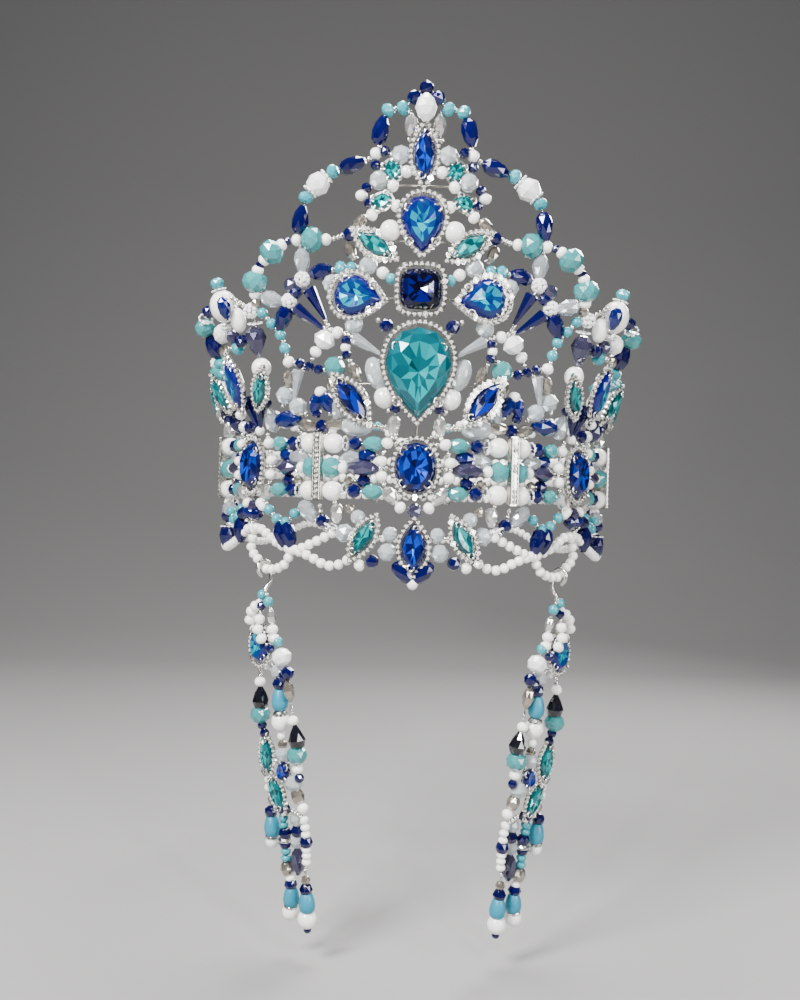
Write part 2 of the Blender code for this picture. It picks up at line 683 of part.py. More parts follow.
def add_hook(side, collection):
    """A bent wire hook: round the swag, down its back and into an eye."""
    hook_radius, wire = 3.4, 0.5
    centre_up = -42.0
    rings = []
    for step in range(9):
        angle = math.radians(-60 + 270 * step / 8)
        out = hook_radius * math.cos(angle)
        rings.append((0.0, centre_up + hook_radius * math.sin(angle), out))
    rings += [(0.2, -46.6, -3.0), (0.8, -49.0, -1.2), (1.2, -50.6, 0.0)]
    points = pendant_route(side, rings)
    path = [(point, wire * MM) for point in points]
    add_tube(f"pendant_hook_{side_name(side)}", path, "silver", collection, sides=4)


def pendant_place(side, sideways, up, out, turn=0.0):
    """A frame for a stone of a pendant; turn leans its top towards the centre."""
    azimuth = PENDANT_AZIMUTH - math.degrees(sideways * MM / FRONT_RADIUS)
    turned = frame_at(side * azimuth, up * MM).to_3x3().to_4x4()
    place = pendant_route(side, [(sideways, up, out)])[0]
    return Matrix.Translation(place) @ turned @ Matrix.Rotation(math.radians(side * turn), 4, "Z")


def add_pendant(side, collection):
    name = side_name(side)
    place = pendant_place(side, 6.5, -73.8, 0.4)
    add_set_stone(
        f"pendant_oval_{name}", "oval", (10.4, 14.4, 2.0), place, "blue_stone", collection
    )
    pieces = []
    # sideways, up, out and turn of the leaf stones
    for row in ((9.0, -119.8, 0.4, -12.0), (4.2, -135.0, 0.8, -34.0)):
        leaf = add_set_stone(
            "leaf", "navette", (6.4, 15.0, 1.9), pendant_place(side, *row), "teal_stone", collection, 8
        )
        pieces.append(leaf)
    # Plain lengths of small beads: the loop beside the oval stone, and the core behind it.
    loop = ((0.6, -56.0, -0.4), (9.4, -58.0, -0.6), (14.6, -62.4, -0.8), (14.4, -66.6, -2.4),
            (6.0, -70.6, -3.8))
    core = ((0.6, -55.0, 0), (-1.6, -61.0, -0.8), (-2.6, -69.0, -1.2), (-4.4, -76.6, -1.2),
            (-2.0, -84.0, 0))
    back = ((-1.6, -61.0, -0.8), (2.6, -64.6, -3.2), (5.6, -71.0, -2.8), (5.6, -78.0, -2.8),
            (-2.0, -84.0, 0))
    for rows in (loop, core, back):
        pieces.append(add_cord("loop", pendant_route(side, rows), 2.3 * MM, "beads", collection, 5))
    # sideways, up and out of each strand's points, and its beads
    strands = (
        (((1.2, -51.2, 0), (0.6, -56.0, -0.2)), ("turquoise6",)),
        (((-2.0, -84.0, 0), (7.4, -84.6, 0), (11.2, -95.4, 0), (12.4, -104.0, 0), (10.4, -112.4, 0)),
         ("white4", "dark_drop", "turquoise6")),
        (((-2.0, -84.0, 0), (-2.2, -94.3, 0), (-1.2, -104.0, 0), (-0.6, -124.0, 0)),
         ("turquoise_drop", "white8", "thread")),
        (((-2.0, -84.0, 0), (-7.8, -90.0, 0), (-9.2, -106.0, 0), (-9.0, -116.4, 0), (-0.6, -124.0, 0)),
         ("clear_drop", "dark_drop", "turquoise6")),
        (((9.0, -112.4, 0), (8.6, -124.0, 0), (1.6, -140.0, 0)), ("thread",)),
        (((-0.6, -124.0, 0), (-4.9, -129.4, 0.2), (-6.0, -136.4, 0), (1.6, -140.0, 0)), ("milk8",)),
        (((1.6, -140.0, 0), (-9.6, -144.0, 0), (-9.0, -160.0, 0), (-6.2, -176.0, 0), (-5.2, -188.6, 0)),
         ("white_run", "white_run", "turquoise_drop", "white8")),
        (((1.6, -140.0, 0), (3.2, -158.0, 0), (3.0, -174.0, 0), (4.3, -187.4, 0)),
         ("turquoise_run", "turquoise_drop", "white8")),
        (((1.6, -140.0, 0), (10.8, -143.0, 0), (11.4, -150.0, 0), (12.0, -158.4, 0)),
         ("navy4", "turquoise_drop", "white5")),
    )
    for rows, beads in strands:
        pieces.append(add_string("strand", pendant_route(side, rows), beads, "beads", collection, 5))
    for row, radius in (((-2.0, -84.0, 0), 2.2), ((1.6, -140.0, 0), 2.6)):
        place = pendant_route(side, [row])[0]
        pieces.append(add_ball("knot", place, radius * MM, "silver", collection, 6, 4))
    fuse(f"pendant_strands_{name}", pieces, collection)


def build():
    crown = new_collection("crystal_crown")
    add_band(crown)
    add_front_wire(crown)
    add_front_stones(crown)
    add_crest_arch(crown)
    add_crest_bead(crown)
    for side in (-1, 1):
        add_shoulder_arch(side, crown)
        add_fan(side, crown)
        add_garland(side, crown)
        add_crest_cluster(side, crown)
        for middle, height_share, own_stones in TOWERS:
            add_tower(middle, height_share, own_stones, side, crown)
        add_hook(side, crown)
        add_pendant(side, crown)
    add_back_scallop(crown)
    add_rim(crown)


for left_over in list(bpy.data.objects):
    bpy.data.objects.remove(left_over)
helpers = new_collection("helpers", hidden=True)
build()
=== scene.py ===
# %% [markdown]
# # A beaded crystal crown
# The crown is wire and thread strung with glass beads, with foil-backed stones in rhinestone-edged
# settings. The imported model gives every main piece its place. This script dresses it: each string
# becomes real beads, each set stone gets its facets, prongs and border, and each finish gets its
# own material.

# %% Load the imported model
import json
import math
import random

import bmesh
import bpy
from mathutils import Matrix, Vector

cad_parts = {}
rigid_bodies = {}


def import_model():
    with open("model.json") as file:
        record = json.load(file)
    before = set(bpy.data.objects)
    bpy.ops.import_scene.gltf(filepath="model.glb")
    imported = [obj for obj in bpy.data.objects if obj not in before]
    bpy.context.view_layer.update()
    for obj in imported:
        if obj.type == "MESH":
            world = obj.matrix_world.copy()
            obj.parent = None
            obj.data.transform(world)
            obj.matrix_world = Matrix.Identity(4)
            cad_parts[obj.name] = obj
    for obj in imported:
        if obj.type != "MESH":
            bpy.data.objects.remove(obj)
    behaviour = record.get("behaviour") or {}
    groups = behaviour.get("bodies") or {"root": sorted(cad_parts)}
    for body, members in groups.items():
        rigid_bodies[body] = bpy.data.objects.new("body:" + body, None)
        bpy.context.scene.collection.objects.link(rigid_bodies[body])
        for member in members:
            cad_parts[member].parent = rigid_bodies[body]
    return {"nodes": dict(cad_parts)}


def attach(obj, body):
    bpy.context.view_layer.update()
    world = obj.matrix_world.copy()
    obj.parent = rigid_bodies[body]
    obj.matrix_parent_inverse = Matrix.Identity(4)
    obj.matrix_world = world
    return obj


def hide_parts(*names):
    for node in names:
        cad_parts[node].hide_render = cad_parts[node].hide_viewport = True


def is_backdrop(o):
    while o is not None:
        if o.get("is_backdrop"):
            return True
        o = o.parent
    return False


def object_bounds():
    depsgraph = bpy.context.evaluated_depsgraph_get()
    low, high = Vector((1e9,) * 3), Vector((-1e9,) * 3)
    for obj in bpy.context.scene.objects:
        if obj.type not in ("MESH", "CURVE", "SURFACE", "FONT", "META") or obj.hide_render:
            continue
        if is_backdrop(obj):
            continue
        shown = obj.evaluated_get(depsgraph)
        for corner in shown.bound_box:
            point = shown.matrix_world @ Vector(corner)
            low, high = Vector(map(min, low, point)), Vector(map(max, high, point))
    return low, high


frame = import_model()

cad_box = [list(corner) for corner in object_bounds()]
print("solids in the packed model:", len(frame["nodes"]))

# %% [markdown]
# ## Where things sit
# The crown is a slightly oval band that opens outwards as it rises, a little at the front and most
# at the side towers. Places on it are easiest to read as an angle round the band, a height over the
# band's middle row and a stand-off, so one helper turns those three into a point.

# %% Places on the crown
MM = 0.001
FRONT_RADIUS = 92 * MM
SIDE_RADIUS = 85.5 * MM
BAY_DEGREES = 24.0
FRONT_LEAN = 0.06
TOWER_LEAN = 0.36
BACK_LEAN = 0.20
LEAN_STARTS_AT = 14 * MM
FRONT_LEAN_WITHIN = 20.0
TOWER_LEAN_FROM = 45.0
TOWER_LEAN_WITHIN = 62.0
BACK_LEAN_FROM = 86.0


def blend(value, start, end):
    """A smooth step from 0 at start to 1 at end."""
    share = min(1.0, max(0.0, (value - start) / (end - start)))
    return share * share * (3 - 2 * share)


def from_front(azimuth):
    """The angle from the front, 0 to 180 degrees, of any azimuth."""
    return abs((azimuth + 180.0) % 360.0 - 180.0)


def lean_at(azimuth):
    """How fast the crown widens with height at this azimuth."""
    angle = from_front(azimuth)
    rise = blend(angle, FRONT_LEAN_WITHIN, TOWER_LEAN_FROM)
    fall = blend(angle, TOWER_LEAN_WITHIN, BACK_LEAN_FROM)
    return FRONT_LEAN + (TOWER_LEAN - FRONT_LEAN) * rise - (TOWER_LEAN - BACK_LEAN) * fall


def radius_at(azimuth, up):
    """The oval band's radius at this azimuth, widened by the lean at this height."""
    angle = math.radians(azimuth)
    band = 1 / math.hypot(math.sin(angle) / SIDE_RADIUS, math.cos(angle) / FRONT_RADIUS)
    return band + lean_at(azimuth) * max(0.0, up - LEAN_STARTS_AT)


def on_crown(azimuth, up, out=0.0):
    """A point from degrees round the band, height and stand-off in metres. 0 is the front."""
    radius = radius_at(azimuth, up) + out
    angle = math.radians(azimuth)
    return Vector((radius * math.sin(angle), -radius * math.cos(angle), up))


def frame_at(azimuth, up, out=0.0, turn=0.0):
    """A frame on the crown: x along the oval band, y up the surface and z square to it."""
    angle = math.radians(azimuth)
    angle = math.atan2(math.sin(angle) * FRONT_RADIUS ** 2, math.cos(angle) * SIDE_RADIUS ** 2)
    slope = lean_at(azimuth) if up > LEAN_STARTS_AT else 0.0
    along = Vector((math.cos(angle), math.sin(angle), 0))
    upward = Vector((slope * math.sin(angle), -slope * math.cos(angle), 1)).normalized()
    outward = along.cross(upward)
    rotation = Matrix((along, upward, outward)).transposed().to_4x4()
    place = on_crown(azimuth, up) + outward * out
    return Matrix.Translation(place) @ rotation @ Matrix.Rotation(math.radians(turn), 4, "Z")


def azimuth_of(across, up):
    """The azimuth of an arc length from the centre line, at this height of the front."""
    return math.degrees(across / radius_at(0.0, up))


def side_name(side):
    return "left" if side < 0 else "right"


print("radius at the tip of a tower, mm:", round(radius_at(48, 72 * MM) / MM, 1))

# %% [markdown]
# ## Camera, floor and light
# The photograph looks straight at the front from about half a metre, level with the band, and the
# crown leans a little in the frame. The camera takes that angle. Glass needs something to reflect,
# so large soft lights give each facet a bright or a dark side, and two small ones add sparkle.

# %% Camera
CAMERA_DISTANCE = 524 * MM
CAMERA_SIDEWAYS = -5.6 * MM
CAMERA_UP = -14.4 * MM
FOCAL_PIXELS = 1122.0
FRAME_PIXELS = 1000.0
SENSOR_WIDTH = 36
ROLL_DEGREES = 1.63

camera_data = bpy.data.cameras.new("camera")
camera_data.sensor_width = SENSOR_WIDTH
camera_data.lens = SENSOR_WIDTH * FOCAL_PIXELS / FRAME_PIXELS
camera_data.shift_y = 0.005
camera_data.clip_start = 0.01
camera = bpy.data.objects.new("camera", camera_data)
camera.matrix_world = (
    Matrix.Translation((CAMERA_SIDEWAYS, -CAMERA_DISTANCE, CAMERA_UP))
    @ Matrix.Rotation(math.radians(90), 4, "X")
    @ Matrix.Rotation(math.radians(ROLL_DEGREES), 4, "Z")
)
bpy.context.scene.collection.objects.link(camera)
bpy.context.scene.camera = camera
print("lens, mm:", round(camera_data.lens, 1))

# %% Floor, light and sky
FLOOR_UP = -205 * MM
FLOOR_FRONT = -2.5
STAGE_HALF_WIDTH = 30.0
WALL_AT = 1.7
WALL_HEIGHT = 3.2
WALL_BEND = 0.9
BEND_STEPS = 8
LIGHT_TARGET = Vector((0, 0, 0.02))
SKY_COLOUR = (0.82, 0.86, 0.92, 1)
SKY_STRENGTH = 0.16


def mesh_data(name, mesh):
    """A Blender mesh from a finished bmesh."""
    data = bpy.data.meshes.new(name)
    mesh.to_mesh(data)
    mesh.free()
    return data


def plain_material(name, colour, roughness):
    material = bpy.data.materials.new(name)
    material.use_nodes = True
    shader = material.node_tree.nodes["Principled BSDF"]
    shader.inputs["Base Color"].default_value = (*colour, 1)
    shader.inputs["Roughness"].default_value = roughness
    return material


def add_stage():
    """A pale floor that curves up into a pale wall behind."""
    profile = [(FLOOR_FRONT, 0.0), (WALL_AT - WALL_BEND, 0.0)]
    for step in range(1, BEND_STEPS + 1):
        angle = math.pi / 2 * step / BEND_STEPS
        across = WALL_AT - WALL_BEND + WALL_BEND * math.sin(angle)
        profile.append((across, WALL_BEND * (1 - math.cos(angle))))
    profile.append((WALL_AT, WALL_HEIGHT))
    mesh = bmesh.new()
    ends = (-STAGE_HALF_WIDTH, STAGE_HALF_WIDTH)
    rows = [[mesh.verts.new((x, y, FLOOR_UP + z)) for x in ends] for y, z in profile]
    for near, far in zip(rows, rows[1:]):
        mesh.faces.new((near[0], near[1], far[1], far[0])).smooth = True
    data = mesh_data("stage", mesh)
    data.materials.append(plain_material("pale_paper", (0.24, 0.235, 0.23), 0.9))
    stage = bpy.data.objects.new("stage", data)
    bpy.context.scene.collection.objects.link(stage)
    stage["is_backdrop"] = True


def add_light(name, place, size, watts):
    data = bpy.data.lights.new(name, "AREA")
    data.size = size
    data.energy = watts
    light = bpy.data.objects.new(name, data)
    aim = (LIGHT_TARGET - Vector(place)).to_track_quat("-Z", "Y")
    light.matrix_world = Matrix.Translation(place) @ aim.to_matrix().to_4x4()
    bpy.context.scene.collection.objects.link(light)


add_stage()
LIGHTS = (
    # name, place, size, watts
    ("key", (-0.42, -0.62, 0.52), 0.26, 24.0),
    ("fill", (0.62, -0.50, 0.10), 0.36, 6.5),
    ("top", (0.02, 0.05, 0.72), 0.36, 10.0),
    ("back", (0.35, 0.55, 0.40), 0.30, 7.0),
    ("sparkle_left", (-0.22, -0.70, 0.12), 0.03, 2.2),
    ("sparkle_right", (0.24, -0.66, 0.40), 0.03, 2.2),
)
for light_name, place, size, watts in LIGHTS:
    add_light(light_name, place, size, watts)
world = bpy.data.worlds.new("sky")
world.use_nodes = True
world.node_tree.nodes["Background"].inputs["Color"].default_value = SKY_COLOUR
world.node_tree.nodes["Background"].inputs["Strength"].default_value = SKY_STRENGTH
bpy.context.scene.world = world
print("lights:", len(LIGHTS))

# %% [markdown]
# ## Finishes
# Every bead of one kind is the same glass, yet no two look quite alike. A shared node group gives
# each bead its own shade, from a number stored on it when it is strung, and clouds the glass
# slightly. The finish itself stays in the material: how rough, how metallic, how clear.

# %% A shared group for bead glass
def link(tree, source, target):
    tree.links.new(source, target)


def add_sockets(tree, way, kind, sockets):
    """Sockets of one kind on a group, each with its first value where it has one."""
    for socket_name, value in sockets:
        made = tree.interface.new_socket(socket_name, in_out=way, socket_type=kind)
        if value is not None:
            made.default_value = value


def add_node(tree, kind, inputs=None, **settings):
    """A node with its settings; each input gets a number or a link from another node's output."""
    node = tree.nodes.new(kind)
    for name, value in settings.items():
        setattr(node, name, value)
    for name, value in (inputs or {}).items():
        if isinstance(value, bpy.types.NodeSocket):
            link(tree, value, node.inputs[name])
        else:
            node.inputs[name].default_value = value
    return node


def math_node(tree, operation, first, second):
    return add_node(tree, "ShaderNodeMath", {0: first, 1: second}, operation=operation).outputs[0]


def attribute(tree, name):
    return add_node(tree, "ShaderNodeAttribute", attribute_name=name).outputs["Fac"]


ROUGHNESS_SWING = 0.12
LEAST_ROUGHNESS = 0.02
bead_glass = bpy.data.node_groups.new("bead_glass", "ShaderNodeTree")
add_sockets(bead_glass, "INPUT", "NodeSocketColor", (("Colour", (0.8, 0.8, 0.8, 1)),))
add_sockets(bead_glass, "INPUT", "NodeSocketFloat", (
    ("Shade Change", 0.2), ("Cloud Size", 350.0), ("Roughness", 0.2),
))
add_sockets(bead_glass, "OUTPUT", "NodeSocketColor", (("Colour", None),))
add_sockets(bead_glass, "OUTPUT", "NodeSocketFloat", (("Roughness", None), ("Height", None)))


def fill_bead_glass(tree):
    entry = tree.nodes.new("NodeGroupInput").outputs
    leave = tree.nodes.new("NodeGroupOutput").inputs
    where = add_node(tree, "ShaderNodeTexCoord").outputs["Object"]
    cloud = add_node(tree, "ShaderNodeTexNoise", {
        "Detail": 3, "Vector": where, "Scale": entry["Cloud Size"],
    }).outputs["Fac"]
    centred = math_node(tree, "SUBTRACT", math_node(tree, "ADD", attribute(tree, "shade"), cloud), 1.0)
    change = math_node(tree, "MULTIPLY", centred, entry["Shade Change"])
    level = math_node(tree, "ADD", change, 1.0)
    shaded = add_node(tree, "ShaderNodeVectorMath", {0: entry["Colour"]}, operation="SCALE")
    link(tree, level, shaded.inputs["Scale"])
    link(tree, shaded.outputs["Vector"], leave["Colour"])
    swing = math_node(tree, "MULTIPLY", math_node(tree, "SUBTRACT", cloud, 0.5), ROUGHNESS_SWING)
    rough = math_node(tree, "ADD", entry["Roughness"], swing)
    link(tree, math_node(tree, "MAXIMUM", rough, LEAST_ROUGHNESS), leave["Roughness"])
    link(tree, cloud, leave["Height"])


fill_bead_glass(bead_glass)
print("nodes in the bead glass group:", len(bead_glass.nodes))

# %% Bead and metal finishes
FINISHES = {
    # colour, roughness, metallic, clearness, coat, shade change
    "white_glass": ((0.86, 0.85, 0.82), 0.20, 0.0, 0.0, 0.5, 0.05),
    "pearl_glass": ((0.82, 0.81, 0.79), 0.22, 0.1, 0.0, 0.7, 0.08),
    "milk_glass": ((0.46, 0.50, 0.52), 0.14, 0.0, 0.40, 0.5, 0.25),
    "aqua_glass": ((0.034, 0.205, 0.212), 0.12, 0.0, 0.08, 0.6, 0.35),
    "turquoise_glass": ((0.024, 0.235, 0.280), 0.24, 0.0, 0.0, 0.4, 0.22),
    "satin_turquoise": ((0.009, 0.19, 0.285), 0.42, 0.0, 0.0, 0.1, 0.12),
    "navy_glass": ((0.0006, 0.0005, 0.040), 0.07, 0.15, 0.0, 0.6, 1.0),
    "blue_glass": ((0.001, 0.005, 0.080), 0.07, 0.25, 0.0, 0.7, 0.9),
    "clear_glass": ((0.50, 0.53, 0.56), 0.05, 0.15, 0.60, 0.6, 0.60),
    "smoky_glass": ((0.36, 0.32, 0.27), 0.12, 0.85, 0.0, 0.6, 0.7),
    "silver_glass": ((0.68, 0.67, 0.64), 0.10, 0.85, 0.0, 0.6, 0.5),
    "haze_glass": ((0.045, 0.040, 0.085), 0.08, 0.60, 0.0, 0.9, 0.8),
    "black_glass": ((0.003, 0.003, 0.006), 0.08, 0.20, 0.0, 1.0, 0.6),
    "silver_plate": ((0.74, 0.72, 0.67), 0.18, 1.0, 0.0, 0.0, 0.14),
}


def new_finish(name, group_tree, colours, numbers, shader_values):
    """A material whose colour comes from a shared group and whose gloss is the shader's own."""
    material = bpy.data.materials.new(name)
    material.use_nodes = True
    tree = material.node_tree
    shader = tree.nodes["Principled BSDF"]
    group = tree.nodes.new("ShaderNodeGroup")
    group.node_tree = group_tree
    for socket, colour in colours.items():
        group.inputs[socket].default_value = (*colour, 1)
    for socket, value in numbers.items():
        group.inputs[socket].default_value = value
    link(tree, group.outputs["Colour"], shader.inputs["Base Color"])
    for socket, value in shader_values.items():
        shader.inputs[socket].default_value = value
    return material, tree, group, shader


def make_finish(name, colour, roughness, metallic, clearness, coat, shade_change):
    material, tree, glass, shader = new_finish(
        name, bead_glass, {"Colour": colour}, {"Shade Change": shade_change, "Roughness": roughness},
        {"Metallic": metallic, "Transmission Weight": clearness, "Coat Weight": coat,
         "Coat Roughness": 0.03},
    )
    bump = add_node(tree, "ShaderNodeBump", {
        "Strength": 0.04, "Distance": 0.1 * MM, "Height": glass.outputs["Height"],
    })
    link(tree, glass.outputs["Roughness"], shader.inputs["Roughness"])
    link(tree, bump.outputs["Normal"], shader.inputs["Normal"])
    return material


finishes = {name: make_finish(name, *values) for name, values in FINISHES.items()}
print("bead finishes:", len(finishes))

# %% [markdown]
# A foil-backed stone throws light back from its many rear facets, so seen from the front it is a
# patchwork of dark, middle and bright patches of one colour, and the coated ones turn violet-blue
# at the rim. Real refraction would need a heavy render and wouldn't survive an export. Instead each
# facet carries two numbers, how bright it is and how near the rim, and the material turns them
# into colour under a clear, glossy coat: painted reflections and painted shade from the first, and
# from the second a rim colour, the coating's violet-blue on the coated stones and a painted darker
# rim on the others.

# %% Stone colours
STONE_COLOURS = {
    # painted shade, body and painted highlight colour, then the rim's colour and how much of it:
    # the coating's violet-blue on the flash stones, a painted darker rim on the others
    "royal": ((0.0002, 0.0006, 0.010), (0.0005, 0.004, 0.085), (0.002, 0.055, 0.50),
              (0.001, 0.001, 0.03), 0.4),
    "deep": ((0.0002, 0.0002, 0.003), (0.0003, 0.0003, 0.011), (0.001, 0.002, 0.12),
             (0.0003, 0.0003, 0.005), 0.3),
    "navy": ((0.0002, 0.0004, 0.007), (0.0004, 0.0015, 0.042), (0.002, 0.02, 0.32),
             (0.0005, 0.0005, 0.02), 0.3),
    "teal": ((0.0, 0.012, 0.018), (0.0, 0.080, 0.090), (0.004, 0.36, 0.35), (0.0, 0.045, 0.06), 0.4),
    "sky_teal": ((0.0, 0.020, 0.028), (0.0, 0.090, 0.110), (0.0, 0.30, 0.32), (0.0, 0.070, 0.10), 0.4),
    "flash": ((0.0005, 0.004, 0.09), (0.0, 0.075, 0.20), (0.0, 0.42, 0.48), (0.002, 0.0015, 0.11), 1.0),
}
# the rhinestones' painted shade, middle grey and painted white glint, with no rim colour
SPARK_COLOURS = ((0.07, 0.07, 0.07), (0.55, 0.53, 0.49), (1.0, 0.98, 0.93), (0.50, 0.50, 0.50), 0.0)
STONE_METAL, SPARK_METAL = 0.25, 0.5
stone_light = bpy.data.node_groups.new("stone_light", "ShaderNodeTree")
add_sockets(stone_light, "INPUT", "NodeSocketColor", (
    ("Dark", (0, 0, 0, 1)), ("Body", (0, 0, 1, 1)), ("Bright", (1, 1, 1, 1)), ("Rim", (0, 0, 1, 1)),
))
add_sockets(stone_light, "INPUT", "NodeSocketFloat", (("Rim Share", None),))
add_sockets(stone_light, "OUTPUT", "NodeSocketColor", (("Colour", None),))


def mix_colours(tree, factor, first, second):
    mix = add_node(tree, "ShaderNodeMix", data_type="RGBA")
    for socket, value in (("Factor", factor), (6, first), (7, second)):
        link(tree, value, mix.inputs[socket])
    return mix.outputs[2]


def fill_stone_light(tree):
    entry = tree.nodes.new("NodeGroupInput").outputs
    leave = tree.nodes.new("NodeGroupOutput").inputs
    # facet_light picks painted shade, body colour or painted highlight; facet_rim mixes in the rim colour
    facet = attribute(tree, "facet_light")
    low = add_node(tree, "ShaderNodeMapRange", {"From Max": 0.5, "Value": facet}).outputs["Result"]
    high = add_node(tree, "ShaderNodeMapRange", {"From Min": 0.5, "Value": facet}).outputs["Result"]
    shadow = mix_colours(tree, low, entry["Dark"], entry["Body"])
    lit = mix_colours(tree, high, shadow, entry["Bright"])
    share = math_node(tree, "MULTIPLY", attribute(tree, "facet_rim"), entry["Rim Share"])
    link(tree, mix_colours(tree, share, lit, entry["Rim"]), leave["Colour"])


fill_stone_light(stone_light)


def make_stone_finish(name, dark, body, bright, rim, rim_share, metallic=STONE_METAL):
    colours = {"Dark": dark, "Body": body, "Bright": bright, "Rim": rim}
    return new_finish("stone_" + name, stone_light, colours, {"Rim Share": rim_share}, {
        "Roughness": 0.09, "Metallic": metallic, "Specular IOR Level": 0.3,
        "Coat Weight": 0.6, "Coat Roughness": 0.02,
    })[0]


for name, values in STONE_COLOURS.items():
    finishes[name] = make_stone_finish(name, *values)
finishes["rhinestone"] = make_stone_finish("rhinestone", *SPARK_COLOURS, SPARK_METAL)
print("finishes with stones:", len(finishes))

# %% [markdown]
# ## Bead shapes
# A bead is modelled once, one unit long and one unit across with its hole along z, and then
# repeated hundreds of times, so it keeps to a few dozen faces. Pressed and cut beads are rings of
# points joined by triangles, with every second ring turned half a step, which is how real cut beads
# get their diamond facets.

# %% Shapes of beads
library = bpy.data.collections.new("bead_shapes")


def shape_object(name, mesh, smooth):
    for face in mesh.faces:
        face.smooth = smooth
    made = bpy.data.objects.new(name, mesh_data(name, mesh))
    library.objects.link(made)
    return made


def ring_faces(rings, stagger=False):
    """The corners of each face between one ring of points and the next, with the ring's number."""
    for number, (lower, upper) in enumerate(zip(rings, rings[1:])):
        for i in range(len(lower)):
            j = (i + 1) % len(lower)
            if not stagger:
                yield number, (lower[i], lower[j], upper[j], upper[i])
            elif number % 2 == 0:
                yield number, (lower[i], lower[j], upper[i])
                yield number, (lower[j], upper[j], upper[i])
            else:
                yield number, (lower[i], upper[j], upper[i])
                yield number, (lower[i], lower[j], upper[j])


def turned_shape(name, profile, sides, smooth, stagger=True):
    """A closed shape from rings of (height, radius), every second one turned half a step."""
    mesh = bmesh.new()
    rings = []
    for number, (height, radius) in enumerate(profile):
        shift = 0.5 * (number % 2) if stagger else 0.0
        ring = []
        for i in range(sides):
            angle = 2 * math.pi * (i + shift) / sides
            ring.append(mesh.verts.new((radius * math.cos(angle), radius * math.sin(angle), height)))
        rings.append(ring)
    for _, corners in ring_faces(rings, stagger):
        mesh.faces.new(corners)
    mesh.faces.new(rings[0])
    mesh.faces.new(rings[-1])
    bmesh.ops.recalc_face_normals(mesh, faces=mesh.faces)
    return shape_object(name, mesh, smooth)


def ball_profile(rings, flat=0.16):
    """Rings of a sphere whose poles are flattened where the hole is."""
    top = math.acos(2 * flat)
    angles = [-top + 2 * top * i / (rings - 1) for i in range(rings)]
    return [(0.5 * math.sin(a) / math.sin(top), 0.5 * math.cos(a)) for a in angles]


CUT_PROFILES = {
    "cut_round": ((-0.5, 0.16), (-0.36, 0.36), (0.0, 0.5), (0.36, 0.36), (0.5, 0.16)),
    "cut_rondelle": ((-0.5, 0.24), (-0.30, 0.43), (0.0, 0.5), (0.30, 0.43), (0.5, 0.24)),
    "cut_oval": ((-0.5, 0.12), (-0.30, 0.38), (0.0, 0.5), (0.30, 0.38), (0.5, 0.12)),
    "cut_drop": ((-0.5, 0.20), (-0.34, 0.42), (-0.06, 0.5), (0.24, 0.40), (0.5, 0.18)),
    "cut_heart": ((-0.5, 0.10), (-0.20, 0.34), (0.12, 0.5), (0.36, 0.42), (0.5, 0.18)),
}
shapes = {name: turned_shape(name, profile, 8, False) for name, profile in CUT_PROFILES.items()}
shapes["spike"] = turned_shape("spike", ((-0.5, 0.42), (-0.47, 0.5), (0.5, 0.12)), 8, False, False)
shapes["ball"] = turned_shape("ball", ball_profile(9), 14, True, False)
shapes["small_ball"] = turned_shape("small_ball", ball_profile(6), 9, True, False)
shapes["seed"] = turned_shape("seed", ball_profile(4, 0.26), 7, True, False)
SMOOTH_DROP = ((-0.5, 0.20), (-0.40, 0.32), (-0.16, 0.44), (0.10, 0.5), (0.32, 0.46), (0.46, 0.32),
               (0.5, 0.14))
shapes["smooth_drop"] = turned_shape("smooth_drop", SMOOTH_DROP, 12, True, False)
CAP_PROFILE = ((-0.5, 0.14), (-0.30, 0.36), (0.1, 0.48), (0.5, 0.5))
shapes["cap"] = turned_shape("cap", CAP_PROFILE, 10, False)


def wire_ring(radius, wire, bends, sides):
    """A closed ring of round wire, lying flat."""
    mesh = bmesh.new()
    rings = []
    for i in range(bends):
        angle = 2 * math.pi * i / bends
        ring = []
        for k in range(sides):
            tilt = 2 * math.pi * k / sides
            reach = radius + wire * math.cos(tilt)
            place = (reach * math.cos(angle), reach * math.sin(angle), wire * math.sin(tilt))
            ring.append(mesh.verts.new(place))
        rings.append(ring)
    for _, corners in ring_faces(rings + rings[:1]):
        mesh.faces.new(corners)
    bmesh.ops.recalc_face_normals(mesh, faces=mesh.faces)
    return mesh


def eye_loop():
    """The wire ring of an eye pin, standing along the thread."""
    mesh = wire_ring(0.38, 0.12, 10, 5)
    mesh.transform(Matrix.Rotation(math.radians(90), 4, "X"))
    return shape_object("eye", mesh, True)


shapes["eye"] = eye_loop()
print("cut bead faces:", len(shapes["cut_round"].data.polygons))

# %% [markdown]
# Rhinestone trim is cup chain: small cut stones, each in a square silver cup. The crystal balls and
# the edged spacers between beads are the same stones set round a silver core.

# %% Rhinestones, crystal balls and edged spacers
CRYSTAL_PROFILE = ((0.0, 0.40), (0.10, 0.46), (0.34, 0.28))
# painted glints and painted shade on a crystal's side facets, bright and dark by turns
CRYSTAL_LIGHT = (1.0, 0.15, 0.9, 0.05, 0.8, 0.0, 1.0, 0.3)


def lit_crystal():
    """A small cut crystal whose facets carry painted glints and painted shade by turns."""
    made = turned_shape("crystal", CRYSTAL_PROFILE, 6, False, False)
    count = len(made.data.polygons)
    light = [CRYSTAL_LIGHT[(3 * i) % 8] for i in range(count - 1)] + [0.9]
    for name, values in (("facet_light", light), ("facet_rim", [0.0] * count)):
        made.data.attributes.new(name, "FLOAT", "FACE").data.foreach_set("value", values)
    return made


shapes["crystal"] = lit_crystal()
CUP_PROFILE = ((-0.3, 0.52), (0.20, 0.64), (0.20, 0.52), (-0.1, 0.44))
shapes["cup"] = turned_shape("cup", CUP_PROFILE, 4, False, False)


